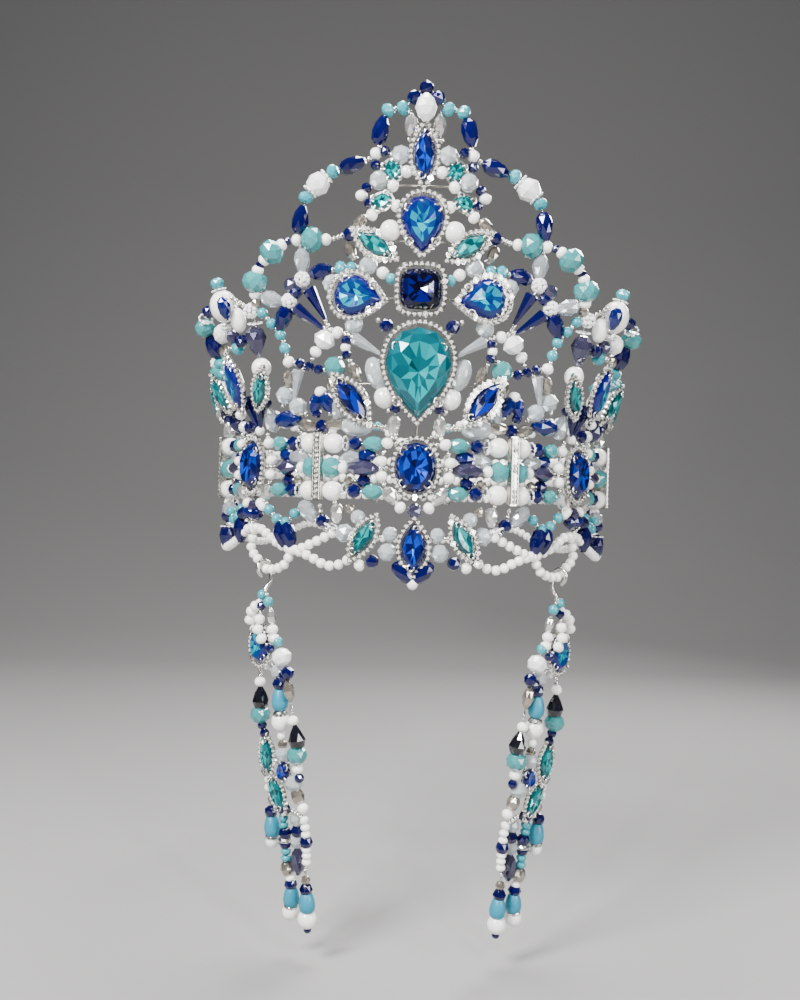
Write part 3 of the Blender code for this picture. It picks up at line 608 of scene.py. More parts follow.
def crystal_cluster(name, directions, core_sides, core_profile, crystal_size):
    """Crystals facing outwards all over a core, in one mesh with both finishes."""
    core = turned_shape(name + "_core", core_profile, core_sides, False, False)
    mesh = bmesh.new()
    mesh.from_mesh(core.data)
    for face in mesh.faces:
        face.material_index = 0
    for place, facing in directions:
        before = set(mesh.faces)
        mesh.from_mesh(shapes["crystal"].data)
        turn = Vector(facing).to_track_quat("Z", "Y").to_matrix().to_4x4()
        matrix = Matrix.Translation(place) @ turn @ Matrix.Scale(crystal_size, 4)
        added = [face for face in mesh.faces if face not in before]
        corners = list({vertex for face in added for vertex in face.verts})
        bmesh.ops.transform(mesh, matrix=matrix, verts=corners)
        for face in added:
            face.material_index = 1
    made = shape_object(name, mesh, False)
    made.data.materials.append(finishes["silver_plate"])
    made.data.materials.append(finishes["rhinestone"])
    return made


def ball_directions(count, radius):
    """Evenly spread directions, by the golden angle."""
    spread = []
    for i in range(count):
        z = 1 - 2 * (i + 0.5) / count
        ring = math.sqrt(1 - z * z)
        angle = i * math.pi * (3 - math.sqrt(5))
        facing = Vector((ring * math.cos(angle), ring * math.sin(angle), z))
        spread.append((facing * radius, facing))
    return spread


def edge_directions(count, radius):
    """Evenly spread directions round the edge of a disc."""
    turns = [2 * math.pi * i / count for i in range(count)]
    facings = [Vector((math.cos(angle), math.sin(angle), 0)) for angle in turns]
    return [(facing * radius, facing) for facing in facings]


BALL_CORE = ((-0.38, 0.12), (-0.2, 0.34), (0.2, 0.34), (0.38, 0.12))
SPACER_CORE = ((-0.5, 0.32), (-0.4, 0.44), (0.4, 0.44), (0.5, 0.32))
CRYSTALS_REACH = 0.36
shapes["crystal_ball"] = crystal_cluster(
    "crystal_ball", ball_directions(24, CRYSTALS_REACH), 8, BALL_CORE, 0.32
)
shapes["edged_spacer"] = crystal_cluster(
    "edged_spacer", edge_directions(9, CRYSTALS_REACH), 9, SPACER_CORE, 0.3
)
print("crystal ball faces:", len(shapes["crystal_ball"].data.polygons))

# %% [markdown]
# ## Stringing beads
# A string could be made by hand, bead by bead, or by an array along a curve, but here each bead has
# its own kind and size. So the string is a curve, each bead is a single point that knows how far
# along the thread it is, and Geometry Nodes samples the curve there, turns the bead to the thread
# and gives it its own shade.

# %% Geometry Nodes: beads on a thread
def new_tree(name, inputs):
    """A Geometry Nodes tree with its named inputs, and what enters and leaves it."""
    tree = bpy.data.node_groups.new(name, "GeometryNodeTree")
    tree.interface.new_socket("Geometry", in_out="OUTPUT", socket_type="NodeSocketGeometry")
    tree.interface.new_socket("Geometry", in_out="INPUT", socket_type="NodeSocketGeometry")
    for socket_name, kind in inputs:
        tree.interface.new_socket(socket_name, in_out="INPUT", socket_type="NodeSocket" + kind)
    return tree, tree.nodes.new("NodeGroupInput").outputs, tree.nodes.new("NodeGroupOutput")


def named_value(tree, name, data_type):
    node = add_node(tree, "GeometryNodeInputNamedAttribute", {"Name": name}, data_type=data_type)
    return node.outputs["Attribute"]


def shape_of(tree, source):
    """The geometry of the object that comes in at a socket."""
    return add_node(tree, "GeometryNodeObjectInfo", {"Object": source}).outputs["Geometry"]


def turned_again(tree, rotation, change):
    """A rotation followed by another one in its own axes."""
    both = add_node(tree, "FunctionNodeRotateRotation", {
        "Rotation": rotation, "Rotate By": change,
    }, rotation_space="LOCAL")
    return both.outputs["Rotation"]


def shade_and_finish(tree, instances, material_socket, leave, seed):
    """Stores a random shade on each instance, makes it all real and gives it its material."""
    shade = add_node(tree, "FunctionNodeRandomValue", {"Seed": seed})
    keep = add_node(tree, "GeometryNodeStoreNamedAttribute", domain="INSTANCE")
    keep.inputs["Name"].default_value = "shade"
    link(tree, instances, keep.inputs["Geometry"])
    link(tree, shade.outputs[1], keep.inputs["Value"])
    real = add_node(tree, "GeometryNodeRealizeInstances", {"Geometry": keep.outputs["Geometry"]})
    paint = add_node(tree, "GeometryNodeSetMaterial", {
        "Geometry": real.outputs["Geometry"], "Material": material_socket,
    })
    link(tree, paint.outputs["Geometry"], leave.inputs["Geometry"])


def make_thread_tree():
    tree, entry, leave = new_tree("beads_on_a_thread", (
        ("Thread", "Object"), ("Bead", "Object"), ("Finish", "Material"),
    ))
    sample = add_node(tree, "GeometryNodeSampleCurve", mode="LENGTH", use_all_curves=True)
    link(tree, shape_of(tree, entry["Thread"]), sample.inputs["Curves"])
    link(tree, named_value(tree, "at", "FLOAT"), sample.inputs["Length"])
    move = add_node(tree, "GeometryNodeSetPosition", {
        "Geometry": entry["Geometry"], "Position": sample.outputs["Position"],
    })
    turn = add_node(tree, "FunctionNodeAlignRotationToVector", {
        "Vector": sample.outputs["Tangent"],
    }, axis="Z")
    roll = add_node(tree, "FunctionNodeRandomValue", {3: 2 * math.pi, "Seed": 7})
    about = add_node(tree, "FunctionNodeAxisAngleToRotation", {
        "Axis": (0, 0, 1), "Angle": roll.outputs[1],
    })
    place = add_node(tree, "GeometryNodeInstanceOnPoints", {
        "Points": move.outputs["Geometry"], "Instance": shape_of(tree, entry["Bead"]),
        "Rotation": turned_again(tree, turn.outputs["Rotation"], about.outputs["Rotation"]),
        "Scale": named_value(tree, "size", "FLOAT_VECTOR"),
    })
    shade_and_finish(tree, place.outputs["Instances"], entry["Finish"], leave, 11)
    return tree


thread_tree = make_thread_tree()
print("nodes in the thread tree:", len(thread_tree.nodes))

# %% Geometry Nodes: stones round a rim
RIM_LEAN = (0.2, 0.2, 0.3)


def make_rim_tree():
    tree, entry, leave = new_tree("stones_round_a_rim", (
        ("Outline", "Object"), ("Stone", "Object"), ("Pitch", "Float"), ("Facing", "Vector"),
        ("Finish", "Material"),
    ))
    even = add_node(tree, "GeometryNodeResampleCurve", mode="LENGTH")
    link(tree, shape_of(tree, entry["Outline"]), even.inputs["Curve"])
    link(tree, entry["Pitch"], even.inputs["Length"])
    face_out = add_node(tree, "FunctionNodeAlignRotationToVector", {"Vector": entry["Facing"]}, axis="Z")
    follow = add_node(tree, "FunctionNodeAlignRotationToVector", {
        "Rotation": face_out.outputs["Rotation"],
        "Vector": add_node(tree, "GeometryNodeInputTangent").outputs["Tangent"],
    }, axis="X", pivot_axis="Z")
    lean = add_node(tree, "FunctionNodeRandomValue", data_type="FLOAT_VECTOR")
    lean.inputs["Min"].default_value = [-most for most in RIM_LEAN]
    lean.inputs["Max"].default_value = RIM_LEAN
    lean.inputs["Seed"].default_value = 3
    as_turn = add_node(tree, "FunctionNodeEulerToRotation", {"Euler": lean.outputs["Value"]})
    place = add_node(tree, "GeometryNodeInstanceOnPoints", {
        "Points": even.outputs["Curve"], "Instance": shape_of(tree, entry["Stone"]),
        "Rotation": turned_again(tree, follow.outputs["Rotation"], as_turn.outputs["Rotation"]),
        "Scale": entry["Pitch"],
    })
    shade_and_finish(tree, place.outputs["Instances"], entry["Finish"], leave, 5)
    return tree


rim_tree = make_rim_tree()
print("nodes in the rim tree:", len(rim_tree.nodes))

# %% [markdown]
# The trees work on live objects, and the finished crown is plain meshes. These helpers run a tree
# on a throwaway object, keep its mesh, and join the parts of a piece into one body, as beadwork
# that is sewn together is.

# %% From trees to plain pieces
scene_objects = bpy.context.scene.collection.objects


def evaluated_mesh(thing):
    """What an object's curve or modifier makes, as a plain mesh. The object itself is removed."""
    graph = bpy.context.evaluated_depsgraph_get()
    graph.update()
    made = bpy.data.meshes.new_from_object(thing.evaluated_get(graph))
    bpy.data.objects.remove(thing)
    return made


def run_tree(tree, data, settings):
    """The mesh that a tree makes from some data, with its inputs set by their identifiers."""
    host = bpy.data.objects.new("host", data)
    scene_objects.link(host)
    modifier = host.modifiers.new("tree", "NODES")
    modifier.node_group = tree
    for socket in tree.interface.items_tree:
        if socket.in_out == "INPUT" and socket.name in settings:
            modifier[socket.identifier] = settings[socket.name]
    return evaluated_mesh(host)


def as_piece(name, data):
    made = bpy.data.objects.new(name, data)
    scene_objects.link(made)
    return made


def join(name, parts):
    """One object from many, in the parts' own places."""
    keep = parts[0]
    with bpy.context.temp_override(active_object=keep, selected_editable_objects=parts):
        bpy.ops.object.join()
    keep.name = name
    keep.data.name = name
    return keep


triangles = {}


def dress(piece, *nodes):
    """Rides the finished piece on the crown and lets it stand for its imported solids."""
    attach(piece, "root")
    if nodes:
        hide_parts(*nodes)
    triangles[piece.name] = sum(len(face.vertices) - 2 for face in piece.data.polygons)


PATH_STEPS = 8


def smooth_path(points):
    """A smooth curve through the points, as many short straight steps."""
    last = len(points) - 1
    path = []
    for i in range(last):
        p0, p1, p2, p3 = (points[min(last, max(0, i + k))] for k in (-1, 0, 1, 2))
        for step in range(PATH_STEPS):
            t = step / PATH_STEPS
            path.append(
                0.5 * (2 * p1 + (p2 - p0) * t + (2 * p0 - 5 * p1 + 4 * p2 - p3) * t * t
                       + (3 * p1 - p0 - 3 * p2 + p3) * t ** 3)
            )
    path.append(points[-1].copy())
    return path


def thread_curve(path, closed=False):
    data = bpy.data.curves.new("thread", "CURVE")
    data.dimensions = "3D"
    spline = data.splines.new("POLY")
    spline.points.add(len(path) - 1)
    for point, place in zip(spline.points, path):
        point.co = (*place, 1)
    spline.use_cyclic_u = closed
    curve = bpy.data.objects.new("thread", data)
    scene_objects.link(curve)
    return curve


def wire_from(path, radius, finish_name="silver_plate", sides=6):
    """A round wire along a path, as a plain mesh."""
    curve = thread_curve(path)
    curve.data.bevel_depth = radius
    curve.data.bevel_resolution = (sides - 4) // 2
    curve.data.use_fill_caps = True
    data = evaluated_mesh(curve)
    data.materials.clear()
    data.materials.append(finishes[finish_name])
    return as_piece("wire", data)


def lengths_along(path):
    """How far along the path each of its points is."""
    reach = [0.0]
    for start, end in zip(path, path[1:]):
        reach.append(reach[-1] + (end - start).length)
    return reach


print("steps of a thread between two beads:", PATH_STEPS)

# %% [markdown]
# ## Kinds of bead
# One table holds every kind of bead on the crown, with its size in millimetres. Sizes were read off
# the photograph and fit stock sizes.

# %% The bead box
BEADS = {
    # shape, finish, length along the thread, diameter
    "white4": ("small_ball", "white_glass", 3.6, 4.1),
    "white_disc": ("small_ball", "white_glass", 2.9, 4.1),
    "white5": ("small_ball", "white_glass", 4.0, 4.9),
    "white6": ("ball", "white_glass", 5.8, 5.8),
    "white7": ("ball", "white_glass", 7.0, 7.2),
    "white8": ("ball", "white_glass", 7.8, 8.0),
    "cut_white": ("cut_oval", "pearl_glass", 10.4, 8.4),
    "cut_white_small": ("cut_round", "pearl_glass", 7.0, 8.8),
    "cut_white_wide": ("cut_round", "pearl_glass", 8.8, 9.6),
    "pearl5": ("small_ball", "pearl_glass", 4.6, 5.0),
    "pearl8": ("ball", "pearl_glass", 8.0, 7.8),
    "milk6": ("cut_round", "milk_glass", 5.6, 6.2),
    "milk8": ("cut_round", "milk_glass", 6.8, 7.8),
    "milk_oval": ("ball", "milk_glass", 12.4, 8.0),
    "white_oval": ("ball", "white_glass", 9.6, 6.4),
    "white_egg": ("ball", "white_glass", 12.6, 11.4),
    "aqua9": ("cut_rondelle", "aqua_glass", 7.8, 10.4),
    "aqua8": ("cut_rondelle", "aqua_glass", 6.8, 8.8),
    "aqua_oval": ("cut_oval", "aqua_glass", 8.2, 6.4),
    "turquoise_disc": ("small_ball", "turquoise_glass", 3.1, 4.4),
    "turquoise4": ("small_ball", "turquoise_glass", 4.1, 4.5),
    "turquoise6": ("cut_rondelle", "turquoise_glass", 4.2, 5.8),
    "navy3": ("cut_rondelle", "navy_glass", 2.6, 3.4),
    "navy4": ("cut_rondelle", "navy_glass", 3.4, 4.2),
    "navy6": ("cut_round", "navy_glass", 5.2, 5.8),
    "navy_ball": ("cut_oval", "navy_glass", 9.6, 7.0),
    "navy_drop": ("cut_drop", "navy_glass", 10.8, 6.8),
    "navy_spike": ("spike", "navy_glass", 13.5, 5.4),
    "blue_drop": ("cut_drop", "blue_glass", 8.6, 5.6),
    "blue_shard": ("cut_oval", "blue_glass", 14.0, 7.6),
    "clear_drop": ("cut_drop", "clear_glass", 9.8, 6.6),
    "clear_spike": ("spike", "clear_glass", 13.0, 5.0),
    "smoky4": ("cut_round", "smoky_glass", 3.8, 4.2),
    "smoky_drop": ("cut_drop", "smoky_glass", 7.0, 4.6),
    "silver_drop": ("cut_drop", "silver_glass", 7.6, 5.4),
    "silver_bar": ("cut_oval", "silver_glass", 7.2, 3.8),
    "smoky_bar": ("cut_oval", "smoky_glass", 9.2, 5.0),
    "smoky6": ("cut_round", "smoky_glass", 6.6, 6.0),
    "haze_oval": ("cut_oval", "haze_glass", 12.0, 6.6),
    "haze6": ("cut_round", "haze_glass", 5.4, 6.2),
    "dark_heart": ("cut_heart", "haze_glass", 11.8, 8.8),
    "black_drop": ("cut_heart", "black_glass", 10.2, 7.2),
    "satin_drop": ("smooth_drop", "satin_turquoise", 9.4, 7.0),
    "seed": ("seed", "silver_plate", 1.6, 2.1),
    "cap": ("cap", "silver_plate", 2.2, 6.0),
    "eye": ("eye", "silver_plate", 3.6, 3.6),
    "ball": ("crystal_ball", None, 6.6, 6.6),
    "ring": ("edged_spacer", None, 2.6, 6.6),
    "wide_ring": ("edged_spacer", None, 3.6, 6.8),
}
SEED_ROOM = 1.1
SEED_PITCH = 1.8
SEED_ROUNDING = 0.35
THREAD_RADIUS = 0.22 * MM


def string_beads(name, points, kinds, seeds=True):
    """Beads at the points of a smooth thread, with silver seeds in the gaps, as one object."""
    path = smooth_path(points)
    places = lengths_along(path)[::PATH_STEPS]
    strung = {}
    before_end = None
    for index, (kind, at) in enumerate(zip(kinds, places)):
        long = BEADS[kind][2] * MM if kind else 0.0
        if seeds and before_end is not None and (kind or kinds[index - 1]):
            gap = at - long / 2 - before_end
            count = int(gap / (SEED_PITCH * MM) + SEED_ROUNDING) if gap > SEED_ROOM * MM else 0
            for number in range(count):
                strung.setdefault("seed", []).append(before_end + gap * (number + 0.5) / count)
        if kind:
            strung.setdefault(kind, []).append(at)
        before_end = at + long / 2
    curve = thread_curve(path)
    parts = [wire_from(path, THREAD_RADIUS, sides=4)]
    for kind, at_list in strung.items():
        shape, bead_finish, long, across = BEADS[kind]
        size = (across * MM, across * MM, long * MM)
        data = bpy.data.meshes.new("points")
        data.from_pydata([(0, 0, 0)] * len(at_list), [], [])
        data.attributes.new("at", "FLOAT", "POINT").data.foreach_set("value", at_list)
        sizes = data.attributes.new("size", "FLOAT_VECTOR", "POINT").data
        sizes.foreach_set("vector", size * len(at_list))
        made = run_tree(thread_tree, data, {
            "Thread": curve, "Bead": shapes[shape],
            "Finish": finishes[bead_finish] if bead_finish else None,
        })
        parts.append(as_piece(kind, made))
    bpy.data.objects.remove(curve)
    return join(name, parts)


def string_on_crown(name, rows, side=1, middle=0.0):
    """A string from rows of bead kind, degrees, up and out in millimetres."""
    points = [on_crown(side * (middle + row[1]), row[2] * MM, row[3] * MM) for row in rows]
    return string_beads(name, points, [row[0] for row in rows])


def dress_strings(stem, tables):
    """The same strings on the left and the right, joined on each side into one piece."""
    for side in (-1, 1):
        node = f"{stem}_{side_name(side)}"
        parts = [string_on_crown(stem, rows, side) for rows in tables]
        dress(join(node + "_beads", parts), node)
    print(f"strings in a {stem}:", len(tables))


print("kinds of bead:", len(BEADS))

# %% [markdown]
# ## Set stones
# A setting is a silver plate cut to the stone's outline, a ring of cup chain on it, the faceted
# stone in the middle and wire loops, two or four, that hold the stone at its edge. The stone is lofted from
# rings of its outline: girdle, crown, table and, inside the table, the star of rear facets that
# shows through the glass.

# %% Outlines and facets
PEAR_WIDTH, PEAR_TAPER = 1.44, 0.62
PEAR_TIP, PEAR_SHOULDER = 0.72, 0.5
CUSHION_POWER = 0.55


def outline(shape, width, height, count):
    """Points round a stone's edge. A pear points down."""
    points = []
    for i in range(count):
        angle = 2 * math.pi * (i + 0.5 * (shape == "cushion")) / count + math.pi / 2
        c, s = math.cos(angle), math.sin(angle)
        if shape == "navette":
            c *= abs(c)
        elif shape == "pear":
            rise = (1 + s) / 2
            c *= PEAR_WIDTH * (rise + 1e-6) ** PEAR_TAPER / (PEAR_TIP + PEAR_SHOULDER * rise)
        elif shape == "cushion":
            c = math.copysign(abs(c) ** CUSHION_POWER, c)
            s = math.copysign(abs(s) ** CUSHION_POWER, s)
        points.append((c * width / 2, s * height / 2))
    return points


def facet_rings(shape, width, height, base, top, count):
    """Rings of a cut stone from its girdle to the middle of its table, and how near the rim."""
    narrow = 0.10 if shape == "navette" else 0.30
    levels = (
        # share across, share along, height share, nearness to the rim
        (1.0, 1.0, 0.0, 1.0), (0.84, 0.86, 0.55, 0.9), (0.62, 0.68, 1.0, 0.5), (narrow, 0.34, 0.86, 0.0),
    )
    rings = []
    for number, (across, along, lift, nearness) in enumerate(levels):
        flat = outline(shape, width, height, 2 * count)[number % 2::2]
        level = base + (top - base) * lift
        rings.append(([Vector((x * across, y * along, level)) for x, y in flat], nearness))
    return rings


# painted reflections and painted shade: how bright the dark and the bright facets are between
# one ring and the next, brighter towards the table
FACET_LIGHTS = ((0.30, 0.55), (0.35, 0.70), (0.40, 0.95))
LIGHT_SPREAD = 0.1
STAR_DEPTH = 0.72


def finished_piece(name, mesh, finish_name="silver_plate"):
    """An object from a finished bmesh, in one finish."""
    data = mesh_data(name, mesh)
    data.materials.append(finishes[finish_name])
    return as_piece(name, data)


def cut_stone(name, shape, width, height, base, top, finish_name, seed, count):
    """A faceted stone whose faces carry their painted brightness, for the reflections of the rear facets,
    and their nearness to the rim.
    """
    chance = random.Random(seed)
    rings = facet_rings(shape, width, height, base, top, count)
    mesh = bmesh.new()
    light = mesh.faces.layers.float.new("facet_light")
    rim = mesh.faces.layers.float.new("facet_rim")
    made = [[mesh.verts.new(point) for point in ring] for ring, _ in rings]
    middle = mesh.verts.new((0, 0, base + STAR_DEPTH * (top - base)))

    def facet(corners, nearness, low, high):
        face = mesh.faces.new(corners)
        face[light] = chance.choice((low, high)) + chance.uniform(-LIGHT_SPREAD, LIGHT_SPREAD)
        face[rim] = nearness

    for number, corners in ring_faces(made, True):
        facet(corners, rings[number][1], *FACET_LIGHTS[number])
    for i in range(count):
        # painted shade on the star facets in the upper half, brighter painted reflections in the lower half
        height_share = made[-1][i].co.y / (height / 2)
        low = 0.1 if height_share > 0.1 else 0.5
        facet((made[-1][i], made[-1][(i + 1) % count], middle), 0.0, low, low + 0.4)
    mesh.faces.new(list(reversed(made[0])))
    bmesh.ops.recalc_face_normals(mesh, faces=mesh.faces)
    return finished_piece(name, mesh, finish_name)


def plate(name, flat, low, high):
    """A silver plate of an outline, with a small step at its top edge."""
    mesh = bmesh.new()
    rings = []
    for share, level in ((0.97, low), (1.0, low + 0.2 * (high - low)), (1.0, high), (0.93, high)):
        rings.append([mesh.verts.new((x * share, y * share, level)) for x, y in flat])
    for _, corners in ring_faces(rings):
        mesh.faces.new(corners)
    mesh.faces.new(rings[0])
    mesh.faces.new(rings[-1])
    bmesh.ops.recalc_face_normals(mesh, faces=mesh.faces)
    return finished_piece(name, mesh)


def loop_prong(place, radius, wire):
    """A small flat ring of wire that laps the stone's edge."""
    mesh = wire_ring(radius, wire, 12, 5)
    mesh.transform(Matrix.Translation(place))
    for face in mesh.faces:
        face.smooth = True
    return finished_piece("prong", mesh)


print("outline of a pear starts at:", outline("pear", 2, 2, 12)[0])

# %% A whole setting
PRONG_ANGLES = {
    "pear": (38, 142, 224, 316), "oval": (45, 135, 225, 315), "cushion": (), "navette": (62, 242),
}
PROUD = 0.85
# heights in millimetres, and how they follow the width of the rim or the stone
PLATE_SHARE, PLATE_MOST = 0.5, 1.5
RIM_SHARE, RIM_MOST = 0.9, 2.4
TABLE_SHARE, TABLE_LEAST = 0.10, 0.6
CHAIN_SINK, PRONG_LIFT = 0.9, 0.55
# how far the plate and the cup chain reach past the stone, in widths of the rim
PLATE_ACROSS, PLATE_ALONG, PLATE_POINTS = 2, 2.3, 28
CHAIN_ACROSS, CHAIN_ALONG, CHAIN_ALONG_TIP, CHAIN_POINTS = 1.2, 1.5, 2.3, 48
# the stone against its stated size
STONE_ACROSS, STONE_ALONG, PEAR_ALONG = 1.08, 1.05, 1.03
BIG_STONE, BIG_FACETS, SMALL_FACETS = 12, 14, 10
PRONG_WIRE, PRONG_REACH = 0.40, 0.47
PRONG_LEAST, PRONG_SHARE, PRONG_MOST = 0.9, 0.04, 1.75


def cup_chain(path, place, pitch, closed=False):
    """Small cut stones in square cups along a line, facing as a setting does."""
    line = thread_curve(path, closed)
    facing = tuple(place.to_3x3() @ Vector((0, 0, 1)))
    made = []
    for shape_name, finish_name in (("cup", "silver_plate"), ("crystal", "rhinestone")):
        data = run_tree(rim_tree, bpy.data.meshes.new("empty"), {
            "Outline": line, "Stone": shapes[shape_name], "Pitch": pitch * MM,
            "Facing": facing, "Finish": finishes[finish_name],
        })
        made.append(as_piece(shape_name, data))
    bpy.data.objects.remove(line)
    return made


def set_stone(name, shape, width, height, rim, place, finish_name, seed, pitch=2.15, bordered=True):
    """A stone in its setting at a frame on the crown, sizes in millimetres, as one object."""
    plate_top = min(PLATE_MOST, PLATE_SHARE * rim)
    rim_top = min(RIM_MOST, RIM_SHARE * rim)
    table = rim_top + TABLE_SHARE * width + TABLE_LEAST
    flat = outline(shape, width + PLATE_ACROSS * rim, height + PLATE_ALONG * rim, PLATE_POINTS)
    parts = [plate("plate", [(x * MM, y * MM) for x, y in flat], 0.0, plate_top * MM)]
    along = PEAR_ALONG if shape == "pear" else STONE_ALONG
    stone_size = (STONE_ACROSS * width * MM, along * height * MM)
    stone_heights = (plate_top * MM, table * MM)
    facets = BIG_FACETS if width > BIG_STONE else SMALL_FACETS
    parts.append(cut_stone("stone", shape, *stone_size, *stone_heights, finish_name, seed, facets))
    ring_size = min(PRONG_MOST, PRONG_LEAST + PRONG_SHARE * width)
    for angle in PRONG_ANGLES[shape]:
        c, s = math.cos(math.radians(angle)), math.sin(math.radians(angle))
        if shape == "navette":
            c *= abs(c)
        at = (PRONG_REACH * width * c * MM, PRONG_REACH * height * s * MM, (rim_top + PRONG_LIFT) * MM)
        parts.append(loop_prong(at, ring_size * MM, PRONG_WIRE * MM))
    for part in parts:
        part.data.transform(place)
    if bordered:
        tip_room = CHAIN_ALONG_TIP if shape == "navette" else CHAIN_ALONG
        middle = outline(shape, width + CHAIN_ACROSS * rim, height + tip_room * rim, CHAIN_POINTS)
        level = (rim_top - CHAIN_SINK) * MM
        path = [place @ Vector((x * MM, y * MM, level)) for x, y in middle]
        parts += cup_chain(path, place, pitch, True)
    return join(name, parts)


FRONT_STONES = (
    # name, shape, width, height, rim, across, up, out, turn, colours
    ("main_pear_stone", "pear", 23.4, 33.6, 3.3, 0.0, 36.4, PROUD, 0, "sky_teal"),
    ("cushion_stone", "cushion", 14.8, 14.8, 2.8, 0.0, 68.0, PROUD, 0, "deep"),
    ("upper_pear_stone", "pear", 14.8, 20.6, 2.7, 0.0, 92.4, PROUD, 0, "flash"),
    ("top_marquise_stone", "navette", 8.0, 19.4, 2.2, 0.0, 118.4, PROUD, 0, "royal"),
    ("teal_leaf_stone", "navette", 7.0, 16.4, 2.0, 17.9, 84.9, PROUD, -56, "teal"),
    ("side_pear_stone", "pear", 14.4, 18.6, 2.7, 23.9, 65.4, PROUD, -80, "flash"),
    ("navy_leaf_stone", "navette", 8.2, 19.4, 2.3, 25.0, 26.0, 2.3, -38, "navy"),
    ("brow_marquise_stone", "navette", 9.4, 18.0, 2.2, 0.0, -31.0, PROUD, 0, "royal"),
    ("brow_teal_stone", "navette", 6.6, 15.8, 2.1, 19.2, -27.4, PROUD, 30, "teal"),
)
for number, (name, shape, width, height, rim, across, up, out, turn, colours) in enumerate(FRONT_STONES):
    for side in (-1, 1) if across else (1,):
        azimuth = side * azimuth_of(across * MM, up * MM)
        place = frame_at(azimuth, up * MM, out * MM, side * turn)
        node = f"{name}_{side_name(side)}" if across else name
        piece = set_stone(node + "_set", shape, width, height, rim, place, colours, number + 1)
        dress(piece, node)
for bay in (-3, -2, -1, 0, 1, 2, 3):
    node = f"band_oval_{side_name(bay)}_{abs(bay)}" if bay else "band_oval_front"
    place = frame_at(2 * bay * BAY_DEGREES, 0.0, PROUD * MM)
    piece = set_stone(node + "_set", "oval", 14.4, 18.6, 2.8, place, "royal", 20 + abs(bay))
    dress(piece, node)
print("stone settings on the front and band:", len(triangles))

# %% [markdown]
# ## The band
# Three bead rows run round the head, tied together by narrow bars with a jewelled face. A bay from
# one oval stone to the next is the same pattern and its mirror image, so half a bay is enough: it
# is repeated, turned back to front every second time.

# %% Band rows
OUTER_HALF_BAY = (
    # kind, degrees from the oval stone's middle
    ("aqua_oval", 10.3), ("navy6", 15.0), ("ring", 17.5), ("white8", 20.7),
)
MIDDLE_HALF_BAY = (("haze_oval", 12.7), ("white5", 18.0), ("aqua8", 21.2))
ROWS = (("band_row_top", 9.0, OUTER_HALF_BAY), ("band_row_middle", -0.6, MIDDLE_HALF_BAY),
        ("band_row_bottom", -9.6, OUTER_HALF_BAY))
FRONT_HALF_BAYS = 4
BACK_BEADS = 62
BACK_FROM, BACK_TO = 91.0, 269.0
BACK_SET_IN = 2.4 * MM


def band_row(name, up, half_bay):
    rows = []
    for bay in range(FRONT_HALF_BAYS):
        start = bay * BAY_DEGREES
        if bay % 2 == 0:
            rows += [(kind, start + degrees) for kind, degrees in half_bay]
        else:
            rows += [(kind, start + BAY_DEGREES - degrees) for kind, degrees in reversed(half_bay)]
    front = [(kind, -degrees) for kind, degrees in reversed(rows)] + rows
    points = [on_crown(degrees, up * MM) for _, degrees in front]
    kinds = [kind for kind, _ in front]
    parts = [string_beads("front", points, kinds)]
    points = [
        on_crown(BACK_FROM + (BACK_TO - BACK_FROM) * i / (BACK_BEADS - 1), up * MM, -BACK_SET_IN)
        for i in range(BACK_BEADS)
    ]
    parts.append(string_beads("back", points, ["white5"] * BACK_BEADS, False))
    return join(name + "_beads", parts)


for node, up, half_bay in ROWS:
    dress(band_row(node, up, half_bay), node)
print("band rows:", len(ROWS))

# %% Bars with a jewelled face
BAR_SIZE = (3.6 * MM, 27.0 * MM, 3.1 * MM)
BAR_CORNER = 0.4 * MM
RAIL_ACROSS, RAIL_LIFT, RAIL_RADIUS = 1.45 * MM, 3.3 * MM, 0.35 * MM
RAIL_ENDS = (-13.0 * MM, 0.0, 13.0 * MM)
CHAIN_ENDS, CHAIN_LIFT, CHAIN_PITCH = (-12.0 * MM, 12.0 * MM), 3.0 * MM, 2.0


def spacer_bar(name, azimuth):
    """A silver bar across the three rows, with cup chain between two rails on its face."""
    place = frame_at(azimuth, 0.0, PROUD * MM)
    mesh = bmesh.new()
    bmesh.ops.create_cube(mesh, size=1)
    mesh.transform(Matrix.Diagonal((*BAR_SIZE, 1)))
    bmesh.ops.bevel(mesh, geom=mesh.edges[:], offset=BAR_CORNER, segments=2, affect="EDGES")
    mesh.transform(place @ Matrix.Translation((0, 0, BAR_SIZE[2] / 2)))
    parts = [finished_piece(name, mesh)]
    for way in (-1, 1):
        rail = [place @ Vector((way * RAIL_ACROSS, y, RAIL_LIFT)) for y in RAIL_ENDS]
        parts.append(wire_from(rail, RAIL_RADIUS))
    parts += cup_chain([place @ Vector((0, y, CHAIN_LIFT)) for y in CHAIN_ENDS], place, CHAIN_PITCH)
    return join(name, parts)


BAR_BAYS = (1, 3, 5, 7)
for side in (-1, 1):
    for bay in BAR_BAYS:
        node = f"spacer_bar_{side_name(side)}_{(bay + 1) // 2}"
        dress(spacer_bar(node + "_jewelled", side * bay * BAY_DEGREES), node)
print("bars:", 2 * len(BAR_BAYS))

# %% [markdown]
# Round each oval stone the rows part and small white beads, silver seeds and drops close the gap.
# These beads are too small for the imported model, so they are added here, on the same oval.

